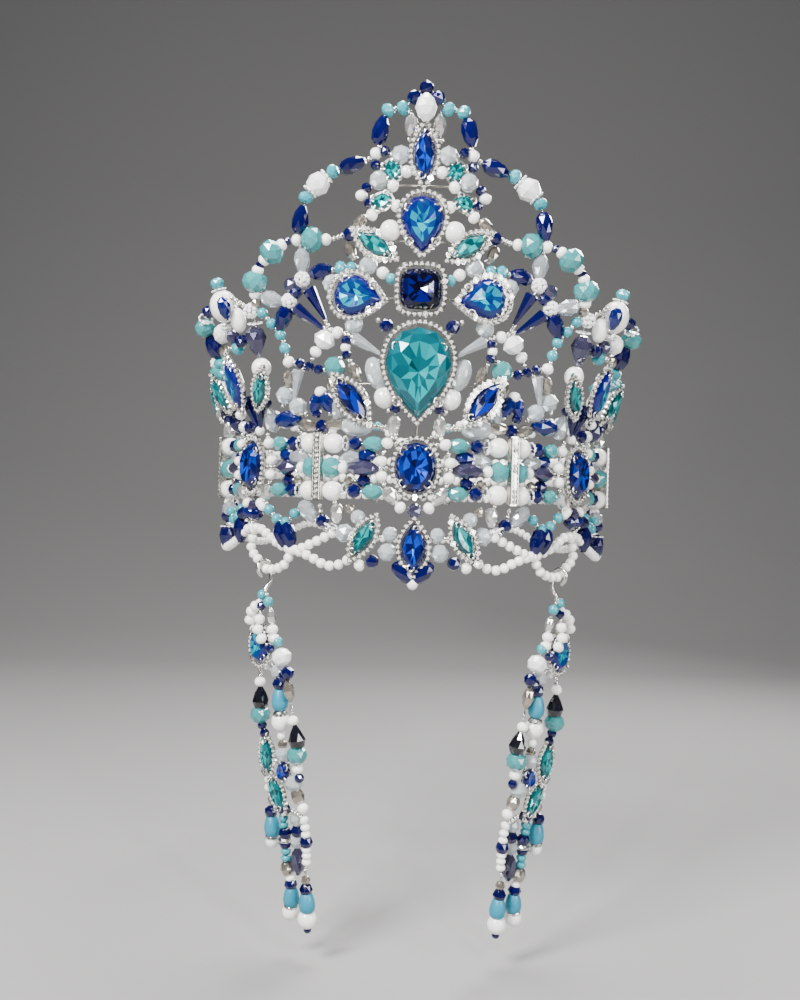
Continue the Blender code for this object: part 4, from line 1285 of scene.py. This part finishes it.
# %% Beads round the ovals
COLLARS = (
    # each string: kind, degrees from the oval's middle, up, out
    ((None, 4.6, 13.2, 0), ("white5", 6.9, 9.2, 1.4), ("seed", 7.7, 5.6, 1.6), ("white5", 8.2, 2.2, 1.6),
     ("seed", 8.3, -0.6, 1.6), ("white5", 8.0, -3.6, 1.6), ("seed", 7.4, -6.8, 1.4),
     ("silver_drop", 5.9, -11.0, 0.8), ("white5", 3.4, -15.4, 0.6), ("haze6", 0.0, -16.6, 0.4)),
    (("blue_drop", 12.7, 4.2, -1.8), ("clear_drop", 16.4, 3.4, -2.0)),
    (("navy6", 12.8, -5.6, -1.8), ("smoky4", 16.6, -5.6, -1.0)),
)
COLLARED_OVALS = (0.0, 48.0, 96.0)
for side in (-1, 1):
    for number, oval in enumerate(COLLARED_OVALS):
        ways = (1,) if oval == 0 else (-1, 1)
        parts = []
        for way in ways:
            for rows in COLLARS:
                turned = [(row[0], way * row[1], row[2], row[3]) for row in rows]
                parts.append(string_on_crown("collar", turned, side, oval))
        dress(join(f"oval_collar_{side_name(side)}_{number}", parts))
print("collars:", 2 * len(COLLARED_OVALS))

# %% [markdown]
# ## The crest
# Arches of beads rise from the shoulders and meet at the tip, and smaller strings tie the stones
# between them. Each string is a short table: the kind of bead, then where it sits.

# %% Crest arch
CREST_HALF = (
    # kind, degrees, up, out
    ("navy_drop", 27.9, 95.0, 0), ("turquoise6", 26.8, 103.4, 0), ("wide_ring", 26.0, 105.8, 0),
    ("cut_white_wide", 24.4, 108.8, 0), ("wide_ring", 22.6, 111.9, 0), ("turquoise6", 21.2, 113.6, 0),
    ("navy_drop", 16.4, 115.4, 0), ("white5", 10.9, 119.2, 0), ("navy_drop", 9.9, 127.9, 0),
    ("turquoise6", 8.3, 135.2, 0), ("turquoise6", 5.0, 135.9, 0), ("navy6", 2.6, 139.9, 0),
)
crest_rows = [(kind, -degrees, up, out) for kind, degrees, up, out in CREST_HALF]
crest_rows.insert(0, (None, -28.2, 90.6, 0))
crest_rows.append(("navy6", 0.0, 143.6, 0))
crest_rows += [(kind, degrees, up, out) for kind, degrees, up, out in reversed(CREST_HALF)]
crest_rows.append((None, 28.2, 90.6, 0))
dress(string_on_crown("crest_arch_beads", crest_rows), "crest_arch")
tip = [on_crown(0, up * MM, 4.6 * MM) for up in (129.4, 134.7, 140.0)]
dress(string_beads("crest_bead_cut", tip, [None, "cut_white", None], False), "crest_bead")
print("beads on the crest arch:", len(crest_rows) - 2)

# %% Beads and small stones beside the top marquise
CREST_CLUSTER = (
    ((None, 3.1, 134.6, 1.5), ("seed", 3.1, 133.0, 1.8), ("silver_drop", 3.1, 129.0, 1.5),
     (None, 3.6, 123.0, 0)),
    (("white5", 10.9, 119.2, 0), ("navy4", 8.8, 119.7, 0.8), ("seed", 7.3, 118.4, 1.2),
     ("milk8", 5.2, 118.2, 1.2)),
    (("pearl5", 3.9, 112.0, 1.0), (None, 5.4, 112.2, 1.0)),
    (("navy4", 11.0, 115.0, 0), ("seed", 9.2, 114.4, 1), ("milk8", 10.0, 108.9, 1.0),
     ("white5", 6.7, 106.3, 2.4)),
    (("navy4", 12.9, 106.4, 0.5), ("white5", 14.1, 103.6, 0.5), ("navy4", 12.3, 100.6, 0.6),
     (None, 10, 101, 1)),
    (("pearl5", 5.9, 99.2, 0.8), (None, 7.0, 100.0, 1.0)),
    ((None, 8.7, 98.2, 1.5), ("white5", 11.5, 96.0, 1.0), ("smoky_drop", 14.5, 93.6, 0.4),
     ("navy6", 17.0, 89.2, 0), ("smoky_drop", 16.6, 82.6, 0.4), (None, 14.6, 80.0, 0.6)),
    (("white8", 7.2, 89.9, 1.2), (None, 7.2, 84.0, 1.0)),
)
SMALL_OVALS = (((6.4, 8.0, 0.8), 11.9, 112.4, -25), ((6.0, 7.8, 0.8), 15.6, 101.0, 70))
for side in (-1, 1):
    parts = [string_on_crown("cluster", rows, side) for rows in CREST_CLUSTER]
    for number, ((width, height, rim), across, up, turn) in enumerate(SMALL_OVALS):
        place = frame_at(side * azimuth_of(across * MM, up * MM), up * MM, PROUD * MM, side * turn)
        parts.append(set_stone("small", "oval", width, height, rim, place, "teal", 40 + number, 2.0, False))
    node = f"crest_cluster_{side_name(side)}"
    dress(join(node + "_beads", parts), node)
print("strings in a crest cluster:", len(CREST_CLUSTER))

# %% Shoulder arches
SHOULDER = (
    (None, 15.3, 90.8, 0), ("seed", 20.9, 88.0, 0), ("white5", 22.8, 87.7, 0), ("aqua9", 25.8, 87.6, 0),
    ("white5", 28.8, 87.2, 0), ("navy3", 30.4, 86.6, 0), ("white5", 31.6, 85.2, 0),
    ("aqua9", 33.5, 82.4, 0), ("white5", 35.1, 79.4, 0), ("navy3", 36.0, 77.6, 0),
    ("white5", 36.6, 75.6, 0), ("aqua9", 37.6, 71.4, 0), ("white5", 38.0, 66.7, 0),
    ("smoky4", 38.2, 63.4, 0), ("turquoise4", 37.1, 59.6, 0), ("turquoise4", 35.4, 55.5, 0),
    ("turquoise4", 33.7, 51.2, 0), ("turquoise4", 33.0, 46.1, 0), ("white5", 32.4, 40.9, 0),
    ("navy4", 29.6, 40.2, 0), ("navy4", 27.2, 38.9, 0), ("navy4", 24.8, 37.7, 0),
    ("aqua8", 20.6, 38.6, 0), (None, 19.2, 42.5, 0),
)
for side in (-1, 1):
    node = f"shoulder_arch_{side_name(side)}"
    dress(string_on_crown(node + "_beads", SHOULDER, side), node)
print("beads on a shoulder arch:", sum(1 for row in SHOULDER if row[0]))

# %% Fans inside the shoulder arches
FAN = (
    ((None, 28.2, 86.0, 0), ("clear_drop", 27.9, 79.3, 0), ("ball", 27.9, 72.4, 0.5),
     ("navy_spike", 24.9, 63.0, 0.3), (None, 22.3, 54.0, 0)),
    ((None, 31.5, 66.4, 0), ("ball", 30.9, 64.0, 0.5), ("navy_spike", 26.8, 57.6, 0.3),
     (None, 22.6, 53.4, 0)),
    (("haze6", 30.4, 70.2, 0), ("navy6", 29.6, 67.4, 0)),
    (("ball", 27.9, 72.4, 0.5), ("navy_ball", 24.0, 75.4, 0), ("seed", 21.2, 76.1, 0),
     ("turquoise6", 19.1, 76.5, 0), ("turquoise4", 16.4, 76.7, 0), (None, 14.1, 76.4, 0)),
    (("milk8", 21.5, 71.0, -0.4), ("seed", 21.2, 67.0, 0), ("turquoise4", 20.8, 64.2, 0),
     (None, 20.1, 60.0, 0)),
    (("milk8", 12.4, 77.2, -0.6), ("pearl5", 8.9, 74.3, -0.4), ("turquoise4", 6.9, 72.0, -0.3)),
    ((None, 37.5, 68.6, 0), ("clear_drop", 34.4, 64.6, 0), ("ball", 30.9, 64.0, 0.5),
     ("navy_drop", 32.6, 57.6, 0), (None, 34.0, 52.4, 0)),
    ((None, 22.3, 53.6, 0), ("cut_white_small", 23.1, 49.2, 0.4), ("white5", 25.5, 44.6, 0),
     (None, 26.8, 40.6, 0)),
    ((None, 22.3, 53.6, 0), ("white5", 19.9, 51.9, 0), ("seed", 17.9, 51.6, 0),
     ("clear_spike", 12.2, 46.4, 0), (None, 7.6, 42.0, 0)),
    (("milk8", 15.8, 54.8, -0.6), (None, 17.6, 51.6, 0), ("navy4", 17.6, 48.7, 0),
     ("white4", 17.8, 46.0, 0), ("navy4", 17.6, 43.3, 0), ("smoky_drop", 15.3, 36.8, 0),
     (None, 13.7, 33.0, 0)),
    (("navy6", 7.9, 54.4, -1.0), (None, 10.6, 57.0, -0.5)),
)
dress_strings("fan", FAN)

# %% Garlands between the band and the arches
GARLAND = (
    ((None, 5.2, 26.0, 0), ("navy4", 5.2, 22.6, -0.3), ("silver_drop", 5.6, 16.0, 0),
     (None, 6.0, 10.4, 0)),
    ((None, 7.0, 15.4, 0), ("milk_oval", 15.0, 15.8, -1.4), ("smoky_bar", 20.4, 16.4, 0),
     ("navy6", 24.0, 15.6, 0), ("smoky_bar", 28.2, 16.2, 0), ("blue_shard", 34.6, 18.4, 0),
     (None, 39.4, 15.4, 0)),
    (("white5", 24.4, 29.0, 0), ("blue_drop", 25.7, 24.4, 0), ("navy4", 25.5, 20.6, 0)),
    (("white5", 24.4, 29.0, 0), ("blue_drop", 22.6, 24.8, 0), ("seed", 21.9, 20.6, 0)),
    (("clear_drop", 19.4, 22.8, -0.8), (None, 20.2, 18.6, 0)),
    ((None, 28.7, 38.4, 0), ("clear_spike", 30.9, 31.6, 0), ("milk8", 30.9, 23.4, 0),
     (None, 28.2, 20.0, 0)),
    ((None, 32.5, 38.6, 0), ("smoky_drop", 32.9, 34.4, 0), ("milk8", 34.6, 28.0, -0.6),
     (None, 35.8, 23.0, 0)),
    (("milk_oval", 10.2, 36.2, -0.6), ("pearl8", 8.1, 26.8, -0.6), (None, 6.6, 20.6, 0)),
    ((None, 21.1, 35.4, 0), ("smoky_drop", 21.2, 31.6, 0), (None, 20.9, 27.4, 0)),
)
dress_strings("garland", GARLAND)

# %% [markdown]
# Behind the stones runs a plain wire skeleton, which shows only from the back and through the gaps.

# %% The tie wire
UPRIGHT_ENDS, UPRIGHT_RADIUS = (10.1, 141.4), 0.36 * MM
CROSS_WIRES, CROSS_RADIUS = ((64.6, 17.5), (86.0, 13.6), (32.0, 16.6), (107.0, 6.4)), 0.32 * MM
upright = [on_crown(0, up * MM) for up in UPRIGHT_ENDS]
wires = [wire_from(upright, UPRIGHT_RADIUS, "smoky_glass", 8)]
for level, reach in CROSS_WIRES:
    path = [on_crown(reach * (i / 6 - 1), level * MM) for i in range(13)]
    wires.append(wire_from(path, CROSS_RADIUS, "smoky_glass", 8))
dress(join("front_wire_round", wires), "front_wire")
print("wires:", len(wires))

# %% [markdown]
# ## Towers
# Each tower is a pointed frame of large beads over three leaf stones. The frame is strung up one
# side and down the other, with drops and spikes tied inside it. The far towers are lower and
# simpler, the same on both their sides.

# %% Towers
TOWER_FRONT_EDGE = (
    # kind, degrees from the tower's middle, up, out
    (None, -8.4, 12.8, 0), ("clear_drop", -7.8, 18.6, 0), ("navy4", -7.0, 25.2, -0.4),
    ("smoky4", -6.6, 29.2, -0.8), ("white8", -7.5, 39.0, -0.8), ("dark_heart", -8.0, 49.0, 0),
    ("ring", -8.7, 55.9, 0), ("ball", -8.4, 60.6, 0.2), (None, -3.5, 66.4, 0.4), (None, -0.8, 69.4, 0.4),
)
TOWER_BACK_EDGE = (
    (None, 8.4, 12.8, 0), ("navy_ball", 9.4, 18.8, 0.8), ("pearl5", 9.2, 26.0, 0.4),
    ("turquoise6", 9.6, 38.6, 0.2), ("turquoise6", 9.9, 43.0, 0.2), ("navy_drop", 9.8, 49.6, 1.0),
    ("aqua8", 9.9, 57.0, 2.4), ("ring", 8.4, 60.4, 2.0), ("navy6", 6.2, 62.6, 1.6),
    (None, 1.0, 69.0, 0.4),
)
LOW_TOWER_EDGE = (
    (None, 8.4, 12.8, 0), ("silver_drop", 8.2, 17.8, 0), ("navy4", 7.0, 23.4, -0.4),
    ("smoky4", 6.8, 28.8, -0.8), ("white8", 7.4, 37.2, -0.8), ("aqua8", 8.4, 44.0, 0),
    ("ball", 6.8, 49.2, 0.2), ("white5", 3.4, 52.8, 0.2), (None, 0.8, 55.8, 0),
)
TOWER_INSIDE = (
    ((None, 0.8, 51.4, 0.4), ("ring", 0.6, 56.0, 0.6), ("white_egg", -0.6, 63.4, 0.8),
     ("ring", -0.2, 69.9, 0.6), ("turquoise6", -0.1, 72.4, 0.5)),
    ((None, -4.6, 66.5, 5.6), ("blue_drop", -4.4, 61.4, 6.2), (None, -4.0, 56.4, 4.6)),
    ((None, -4.8, 63.2, 0.6), ("white_oval", -4.6, 57.4, 0.8), (None, -4.2, 52.0, 0.8)),
    (("cut_white_small", 2.2, 53.4, 1.6), ("haze6", -1.6, 51.6, 1.6), ("navy6", -4.2, 49.4, 1.4)),
    (("turquoise6", -2.2, 47.0, 1.2), ("smoky_drop", 4.4, 47.0, 1.2), ("turquoise6", 5.4, 41.4, 1.0)),
    ((None, 0.4, 28.6, 1.2), ("navy_spike", -0.9, 21.6, 1.2), ("white4", -2.6, 14.4, 1.2)),
    ((None, -6.4, 28.2, 1.0), ("navy_spike", -4.8, 21.4, 1.0), (None, -2.8, 15.0, 1.0)),
    (("navy6", 1.8, 16.0, 1.2), ("pearl5", 5.4, 16.4, 1.0), ("white5", 5.6, 21.4, 0.8)),
)
LOW_TOWER_INSIDE = (
    ((None, 0.2, 44.0, 0.4), ("cut_white", 0.0, 51.2, 0.8), ("ring", 0, 57.6, 0.4)),
    ((None, 2.6, 28.4, 1.0), ("navy_spike", 1.6, 21.4, 1.0), (None, 0.2, 14.4, 1.0)),
    ((None, -2.6, 28.4, 1.0), ("navy_spike", -1.6, 21.4, 1.0), (None, -0.2, 14.4, 1.0)),
    (("haze6", 3.4, 44.6, 0.8), ("turquoise6", -3.4, 44.4, 0.8)),
)
TOWER_STONES = (
    # name, width, height, rim, degrees from the tower's middle, up, turn, colours
    ("blue_leaf_stone", 8.2, 19.6, 2.3, 0.0, 34.6, 0, "flash"),
    ("inner_leaf_stone", 6.2, 15.2, 2.0, -8.9, 31.4, 28, "teal"),
    ("outer_leaf_stone", 6.2, 15.2, 2.0, 8.9, 31.4, -28, "teal"),
)
TOWER_MIDDLES = ((1, 48.0), (2, 96.0))
TOWER_PROUD = 3.6 * MM
LOW_TOWER_SUNK = 1.8 * MM
for side in (-1, 1):
    for number, middle in TOWER_MIDDLES:
        if number == 1:
            strings = (TOWER_FRONT_EDGE, TOWER_BACK_EDGE) + TOWER_INSIDE
        else:
            mirrored = tuple((row[0], -row[1], row[2], row[3]) for row in LOW_TOWER_EDGE)
            strings = (LOW_TOWER_EDGE, mirrored) + LOW_TOWER_INSIDE
        parts = [string_on_crown("tower", rows, side, middle) for rows in strings]
        for k, (stone, width, height, rim, degrees, up, turn, colours) in enumerate(TOWER_STONES):
            place = frame_at(side * (middle + degrees), up * MM, TOWER_PROUD, side * turn)
            if number == 1:
                node = f"tower_{stone}_{side_name(side)}"
                dress(set_stone(node + "_set", "navette", width, height, rim, place, colours, 60 + k), node)
            else:
                sunk = place @ Matrix.Translation((0, 0, -LOW_TOWER_SUNK))
                parts.append(set_stone("leaf", "navette", width, height, rim, sunk, colours, 60 + k))
        node = f"tower_frame_{side_name(side)}_{number}"
        dress(join(node + "_beads", parts), node)
print("towers:", 2 * len(TOWER_MIDDLES))

# %% The low back
SCALLOPS, SCALLOP_BEADS = 4, 9
SCALLOPS_FROM, SCALLOPS_ROUND = 109.0, 142.0
SCALLOP_FOOT, SCALLOP_RISE = 15.1, 15.3
scallop_points = []
for i in range(SCALLOPS * SCALLOP_BEADS + 1):
    share = abs(math.sin(math.pi * i / SCALLOP_BEADS))
    degrees = SCALLOPS_FROM + SCALLOPS_ROUND * i / (SCALLOPS * SCALLOP_BEADS)
    scallop_points.append(on_crown(degrees, (SCALLOP_FOOT + SCALLOP_RISE * share) * MM))
scallop_kinds = ["white5" if i % 3 else "turquoise6" for i in range(len(scallop_points))]
dress(string_beads("back_scallops_beads", scallop_points, scallop_kinds), "back_scallops")
print("beads on the low back:", len(scallop_kinds))

# %% [markdown]
# ## The rim
# Swags of small white beads hang below the band, tied up by navy drops, with three stones over the
# brow. Along a swag the beads touch, so they are spaced by their own length and not by a table.

# %% Swags
UPPER_SWAG = (
    # degrees, up, out
    (20.6, -26.2, -0.6), (27.2, -31.2, 0), (31.8, -33.5, 0), (37.2, -31.4, 0), (42.4, -27.4, 0),
    (45.6, -25.6, 0), (51.0, -25.8, 0), (60.0, -31.6, 0), (72.0, -35.0, 0), (84.0, -31.6, 0),
    (96.0, -25.4, 0), (108.0, -31.6, 0), (120.0, -34.6, 0), (132.0, -31.6, 0), (144.0, -25.4, 0),
    (158.0, -31.6, 0), (180.0, -33.6, 0),
)
LOWER_SWAG = (
    (16.7, -36.6, -1.8), (18.8, -38.4, -1.0), (22.1, -38.8, 0), (27.3, -35.4, 0), (32.4, -33.8, 0),
    (33.8, -37.6, 0), (36.0, -40.6, 0), (40.9, -42.2, 0), (44.2, -40.2, 0), (46.2, -38.0, 0),
    (49.3, -34.8, 0), (49.0, -30.6, 0), (48.0, -26.4, 0),
)
RIM_DROPS = (
    # strings tied between the band and the swags
    ((None, 20.2, -13.6, 0), ("silver_drop", 19.2, -18.4, 0.4), ("ring", 20.6, -23.2, 0),
     (None, 21.3, -26.4, 0)),
    ((None, 24.4, -14.6, 0), ("navy6", 23.2, -21.6, 0), (None, 21.5, -25.6, 0)),
    ((None, 29.4, -13.8, 0), ("clear_drop", 27.6, -18.0, 0), ("seed", 25.1, -21.4, 0),
     (None, 23.6, -22.4, 0)),
    (("turquoise4", 31.8, -19.0, 0), ("turquoise4", 34.9, -22.6, 0), ("turquoise4", 38.2, -21.4, 0),
     ("turquoise4", 41.4, -17.8, 0), (None, 43.5, -14.4, 0)),
    (("smoky4", 15.9, -16.4, 0), ("milk6", 13.7, -19.6, 0)),
    (("milk8", 17.6, -26.0, -1.8), (None, 20.2, -24.6, 0)),
    (("milk6", 5.7, -25.8, -0.4), ("milk8", 6.3, -32.8, -0.6)),
    (("white5", 13.2, -38.2, -0.6), ("navy6", 10.1, -36.6, -1.0)),
    ((None, 3.2, -39.0, 0), ("navy_drop", 2.2, -40.6, 0.2)),
    ((None, 34.6, -23.0, 0), ("navy_drop", 33.5, -27.8, 0.3), (None, 32.6, -33.0, 0)),
    ((None, 35.3, -23.6, 0), ("navy_drop", 36.0, -27.6, 0.3), (None, 33.7, -33.0, 0)),
    (("white4", 43.9, -16.6, 0.6), ("navy6", 46.1, -19.8, 1.0), ("blue_drop", 49.8, -19.2, 1.2),
     ("navy6", 53.5, -19.8, 1.0), (None, 47.4, -25.0, 0)),
    ((None, 54.4, -21.0, 0), ("navy_drop", 55.3, -26.8, 0.6), (None, 54.1, -31.4, 0)),
    ((None, 53.4, -14.2, 0), ("turquoise4", 56.4, -17.8, 0), ("turquoise4", 59.4, -21.4, 0),
     ("turquoise4", 62.8, -22.6, 0), ("turquoise4", 66.0, -19.2, 0), ("clear_drop", 69.4, -18.0, 0)),
    ((None, 72.0, -14.8, 0), ("navy6", 72.0, -21.6, 0), ("ring", 72.0, -26.0, 0),
     ("navy_drop", 72.0, -30.6, 0)),
    ((None, 96.0, -13.2, 0), ("navy_drop", 96.0, -19.8, 0), (None, 96.0, -25.4, 0)),
)


TOUCHING = 1.02


def swag(name, rows, side, kind):
    """Touching beads of one kind along a smooth line."""
    points = [on_crown(side * row[0], row[1] * MM, row[2] * MM) for row in rows]
    path = smooth_path(points)
    reach = lengths_along(path)
    count = int(reach[-1] / (BEADS[kind][2] * TOUCHING * MM))
    even = []
    for number in range(count + 1):
        target = reach[-1] * number / count
        index = max(i for i, value in enumerate(reach[:-1]) if value <= target)
        span = reach[index + 1] - reach[index]
        even.append(path[index].lerp(path[index + 1], (target - reach[index]) / span))
    return string_beads(name, even, [kind] * len(even), False)


rim_parts = []
for side in (-1, 1):
    rim_parts.append(swag("upper", UPPER_SWAG, side, "white4"))
    rim_parts.append(swag("lower", LOWER_SWAG, side, "white4"))
    rim_parts += [string_on_crown("drops", rows, side) for rows in RIM_DROPS]
LOW_BEAD = ((None, -1.6, -43.6, 0), ("seed", -1.0, -44.4, 0.4), ("white5", 0.0, -44.6, 0.6),
            ("seed", 1.0, -44.4, 0.4), (None, 1.6, -43.6, 0))
BROW_WIRE_UP, BROW_WIRE_RADIUS = -27 * MM, 0.45 * MM
rim_parts.append(string_on_crown("low_bead", LOW_BEAD))
brow = [on_crown(degrees, BROW_WIRE_UP) for degrees in range(-20, 21, 5)]
rim_parts.append(wire_from(brow, BROW_WIRE_RADIUS))
dress(join("rim_swags_beads", rim_parts), "rim_swags")
print("strings in the rim:", len(rim_parts))

# %% [markdown]
# ## Side pendants
# A wire hook goes round the swag, and from it hangs a loop of white beads round an oval stone, then
# three drops, a pair of leaf stones and four loose strands. They hang straight down and draw in
# towards the neck, so they have a frame of their own.

# %% Pendants
PENDANT_AZIMUTH = 42.4
PENDANT_HEAD = -44.0
DROP_IN, DROP_FORWARD = 0.115, 0.062
HOOK_UP, HOOK_RADIUS, HOOK_WIRE = -42.0, 3.4, 0.8 * MM
HOOK_FROM, HOOK_ROUND, HOOK_STEPS = -60, 270, 24
HOOK_SHANK = [(0.2, -46.6, -3.0), (0.8, -49.0, -1.2), (1.2, -50.6, 0.0)]
PENDANT_OVAL_AT = (6.5, -73.8, 0.4)
PENDANT_PITCH = 1.9


def pendant_frame(side, up, out=0.0):
    below = (PENDANT_HEAD - up) * MM
    azimuth = PENDANT_AZIMUTH - math.degrees(DROP_FORWARD * below / FRONT_RADIUS)
    return frame_at(side * azimuth, up * MM, out * MM - DROP_IN * below)


def pendant_point(side, sideways, up, out):
    return pendant_frame(side, up, out) @ Vector((side * sideways * MM, 0, 0))


PENDANT_STRINGS = (
    # kind, sideways, up, out
    ((None, 1.2, -50.4, 0), ("turquoise4", 2.6, -52.8, 0.4), ("navy4", 3.8, -57.4, 0.6),
     ("white5", 3.7, -62.8, 2.4), ("white5", 3.9, -67.0, 3.6), ("white5", 2.0, -70.6, 3.6),
     (None, -0.8, -74.0, 2.0)),
    ((None, 1.2, -50.4, 0), ("turquoise4", -1.0, -55.4, 0.6), ("silver_bar", -1.8, -61.4, 0.2),
     ("white5", -2.0, -66.6, 0.6), ("white5", -2.6, -70.2, 0.6), ("navy4", -1.2, -74.4, 2.4)),
    ((None, 2.4, -55.6, -0.4), ("white5", 5.8, -56.8, -0.6), ("white5", 9.6, -58.2, -0.6),
     ("white5", 13.0, -60.6, -0.8), ("white5", 14.9, -64.2, -1.0), ("white5", 13.6, -68.0, -2.2),
     (None, 8.0, -70.6, -3.4)),
    (("turquoise4", -4.2, -71.4, 0.2), ("cut_white_small", -6.0, -77.4, 0.4),
     ("navy6", -8.6, -83.6, 0.2)),
    ((None, 4.6, -80.4, -1.6), ("ring", 2.2, -81.4, -0.6), ("milk6", -1.2, -84.0, -0.6),
     ("navy6", -5.2, -86.0, -0.6)),
    ((None, 8.2, -81.6, 0.2), ("eye", 9.2, -84.6, 0), ("white5", 10.5, -89.6, 0),
     ("black_drop", 11.2, -96.4, 0), ("cap", 12.0, -101.6, 0), ("aqua8", 12.4, -103.6, 0),
     ("navy4", 11.8, -108.0, 0), ("navy4", 10.8, -111.2, 0), (None, 10.4, -112.6, 0)),
    (("navy6", -3.0, -88.6, 0.6), ("satin_drop", -2.3, -95.2, 0.6), ("cap", -1.7, -100.6, 0.6),
     ("white8", -1.3, -104.4, 0.4), ("white4", -0.8, -110.4, 0.2), ("smoky4", -0.5, -114.2, 0)),
    (("smoky_bar", -8.0, -91.0, 0), ("eye", -8.8, -98.2, 0), ("white5", -8.5, -103.0, 0),
     ("black_drop", -9.8, -109.6, 0), ("cap", -9.2, -114.8, 0), ("aqua8", -9.0, -117.0, 0),
     ("white5", -8.6, -122.8, 0), ("navy4", -9.0, -126.4, 0), ("milk8", -5.2, -129.2, 0),
     ("smoky6", -7.0, -134.4, 0), ("white5", -9.4, -138.8, 0)),
    (("milk8", -0.2, -118.2, -0.4), (None, -0.6, -121.6, 0)),
    (("navy6", 11.6, -127.0, -0.6), ("white4", 11.6, -130.8, -0.8), ("white4", 12.0, -134.4, -0.8),
     ("smoky4", 10.4, -139.4, -0.6), (None, 4.0, -141.0, 0)),
    ((None, -2.0, -141.0, 0), ("white_disc", -9.6, -143.6, 0), ("white_disc", -9.7, -146.6, 0),
     ("white_disc", -9.6, -149.5, 0), ("navy6", -9.4, -152.6, 0), ("white_disc", -9.1, -155.8, 0),
     ("white_disc", -8.9, -158.4, 0), ("white_disc", -8.4, -161.1, 0), ("eye", -7.4, -164.4, 0),
     ("smoky4", -6.9, -169.0, 0), ("navy6", -6.5, -173.0, 0), ("satin_drop", -6.3, -178.4, 0),
     ("cap", -5.9, -182.8, 0), ("white8", -5.5, -185.6, 0), ("navy3", -5.1, -190.2, 0)),
    (("navy6", 1.4, -141.4, 0.8), ("turquoise_disc", 3.0, -145.2, 0.4),
     ("turquoise_disc", 3.3, -148.2, 0.4), ("navy6", 2.8, -151.6, 0.4), ("cap", 3.1, -153.8, 0.4),
     ("navy6", 3.2, -155.6, 0.4), ("turquoise_disc", 3.3, -159.2, 0.4),
     ("turquoise_disc", 3.6, -162.1, 0.4), ("smoky6", 3.8, -166.6, 0.2), ("white_disc", 2.6, -170.6, 0),
     ("navy6", 2.6, -173.0, 0), ("satin_drop", 3.0, -178.2, 0), ("cap", 3.7, -182.0, 0),
     ("white7", 4.3, -184.9, 0)),
    ((None, 0.0, -141.4, -1.6), ("milk6", -2.7, -145.1, -2.0), ("navy6", -2.3, -150.0, -2.0),
     ("milk6", -1.5, -154.6, -2.0), ("haze_oval", -0.7, -163.0, -2.0)),
    ((None, 4.0, -141.0, 0), ("navy6", 11.2, -144.4, 0), ("satin_drop", 11.2, -150.4, 0),
     ("cap", 11.7, -154.2, 0), ("white6", 12.0, -156.8, 0)),
)
PENDANT_STONES = (
    # shape, width, height, rim, sideways, up, out, turn, colours
    ("navette", 6.4, 15.0, 1.9, 9.0, -119.8, 0.4, -12, "teal"),
    ("navette", 6.4, 15.0, 1.9, 4.2, -135.0, 0.8, -34, "teal"),
    ("oval", 7.0, 8.0, 1.2, -1.2, -125.0, 1.0, 10, "royal"),
)


def stone_place(side, sideways, up, out, turn=0.0):
    """A frame for a stone of a pendant; turn leans its top towards the centre."""
    azimuth = PENDANT_AZIMUTH - math.degrees(sideways * MM / FRONT_RADIUS)
    turned = frame_at(side * azimuth, up * MM).to_3x3().to_4x4()
    at = Matrix.Translation(pendant_point(side, sideways, up, out))
    return at @ turned @ Matrix.Rotation(math.radians(side * turn), 4, "Z")


def add_pendant(side):
    name = side_name(side)
    hook_path = []
    for step in range(HOOK_STEPS + 1):
        angle = math.radians(HOOK_FROM + HOOK_ROUND * step / HOOK_STEPS)
        hook_path.append((0.0, HOOK_UP + HOOK_RADIUS * math.sin(angle), HOOK_RADIUS * math.cos(angle)))
    path = [pendant_point(side, *row) for row in hook_path + HOOK_SHANK]
    dress(wire_from(path, HOOK_WIRE, sides=8), f"pendant_hook_{name}")
    place = stone_place(side, *PENDANT_OVAL_AT)
    oval = set_stone(f"pendant_oval_{name}_set", "oval", 10.4, 14.4, 2.0, place, "flash", 80, PENDANT_PITCH)
    dress(oval, f"pendant_oval_{name}")
    parts = []
    for rows in PENDANT_STRINGS:
        points = [pendant_point(side, row[1], row[2], row[3]) for row in rows]
        parts.append(string_beads("strand", points, [row[0] for row in rows]))
    for number, (shape, width, height, rim, sideways, up, out, turn, colours) in enumerate(PENDANT_STONES):
        place = stone_place(side, sideways, up, out, turn)
        parts.append(set_stone("leaf", shape, width, height, rim, place, colours, 90 + number,
                               PENDANT_PITCH, shape == "navette"))
    dress(join(f"pendant_strands_{name}_beads", parts), f"pendant_strands_{name}")


for side in (-1, 1):
    add_pendant(side)
print("strings in a pendant:", len(PENDANT_STRINGS))

# %% Write the sizes and finish
bpy.context.view_layer.update()
visual_box = [list(corner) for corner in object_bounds()]
for label, box in (("cad", cad_box), ("visual", visual_box)):
    print(label, [round((high - low) / MM, 1) for low, high in zip(*box)])
print("triangles:", sum(triangles.values()), "the most in one piece:", max(triangles.values()))
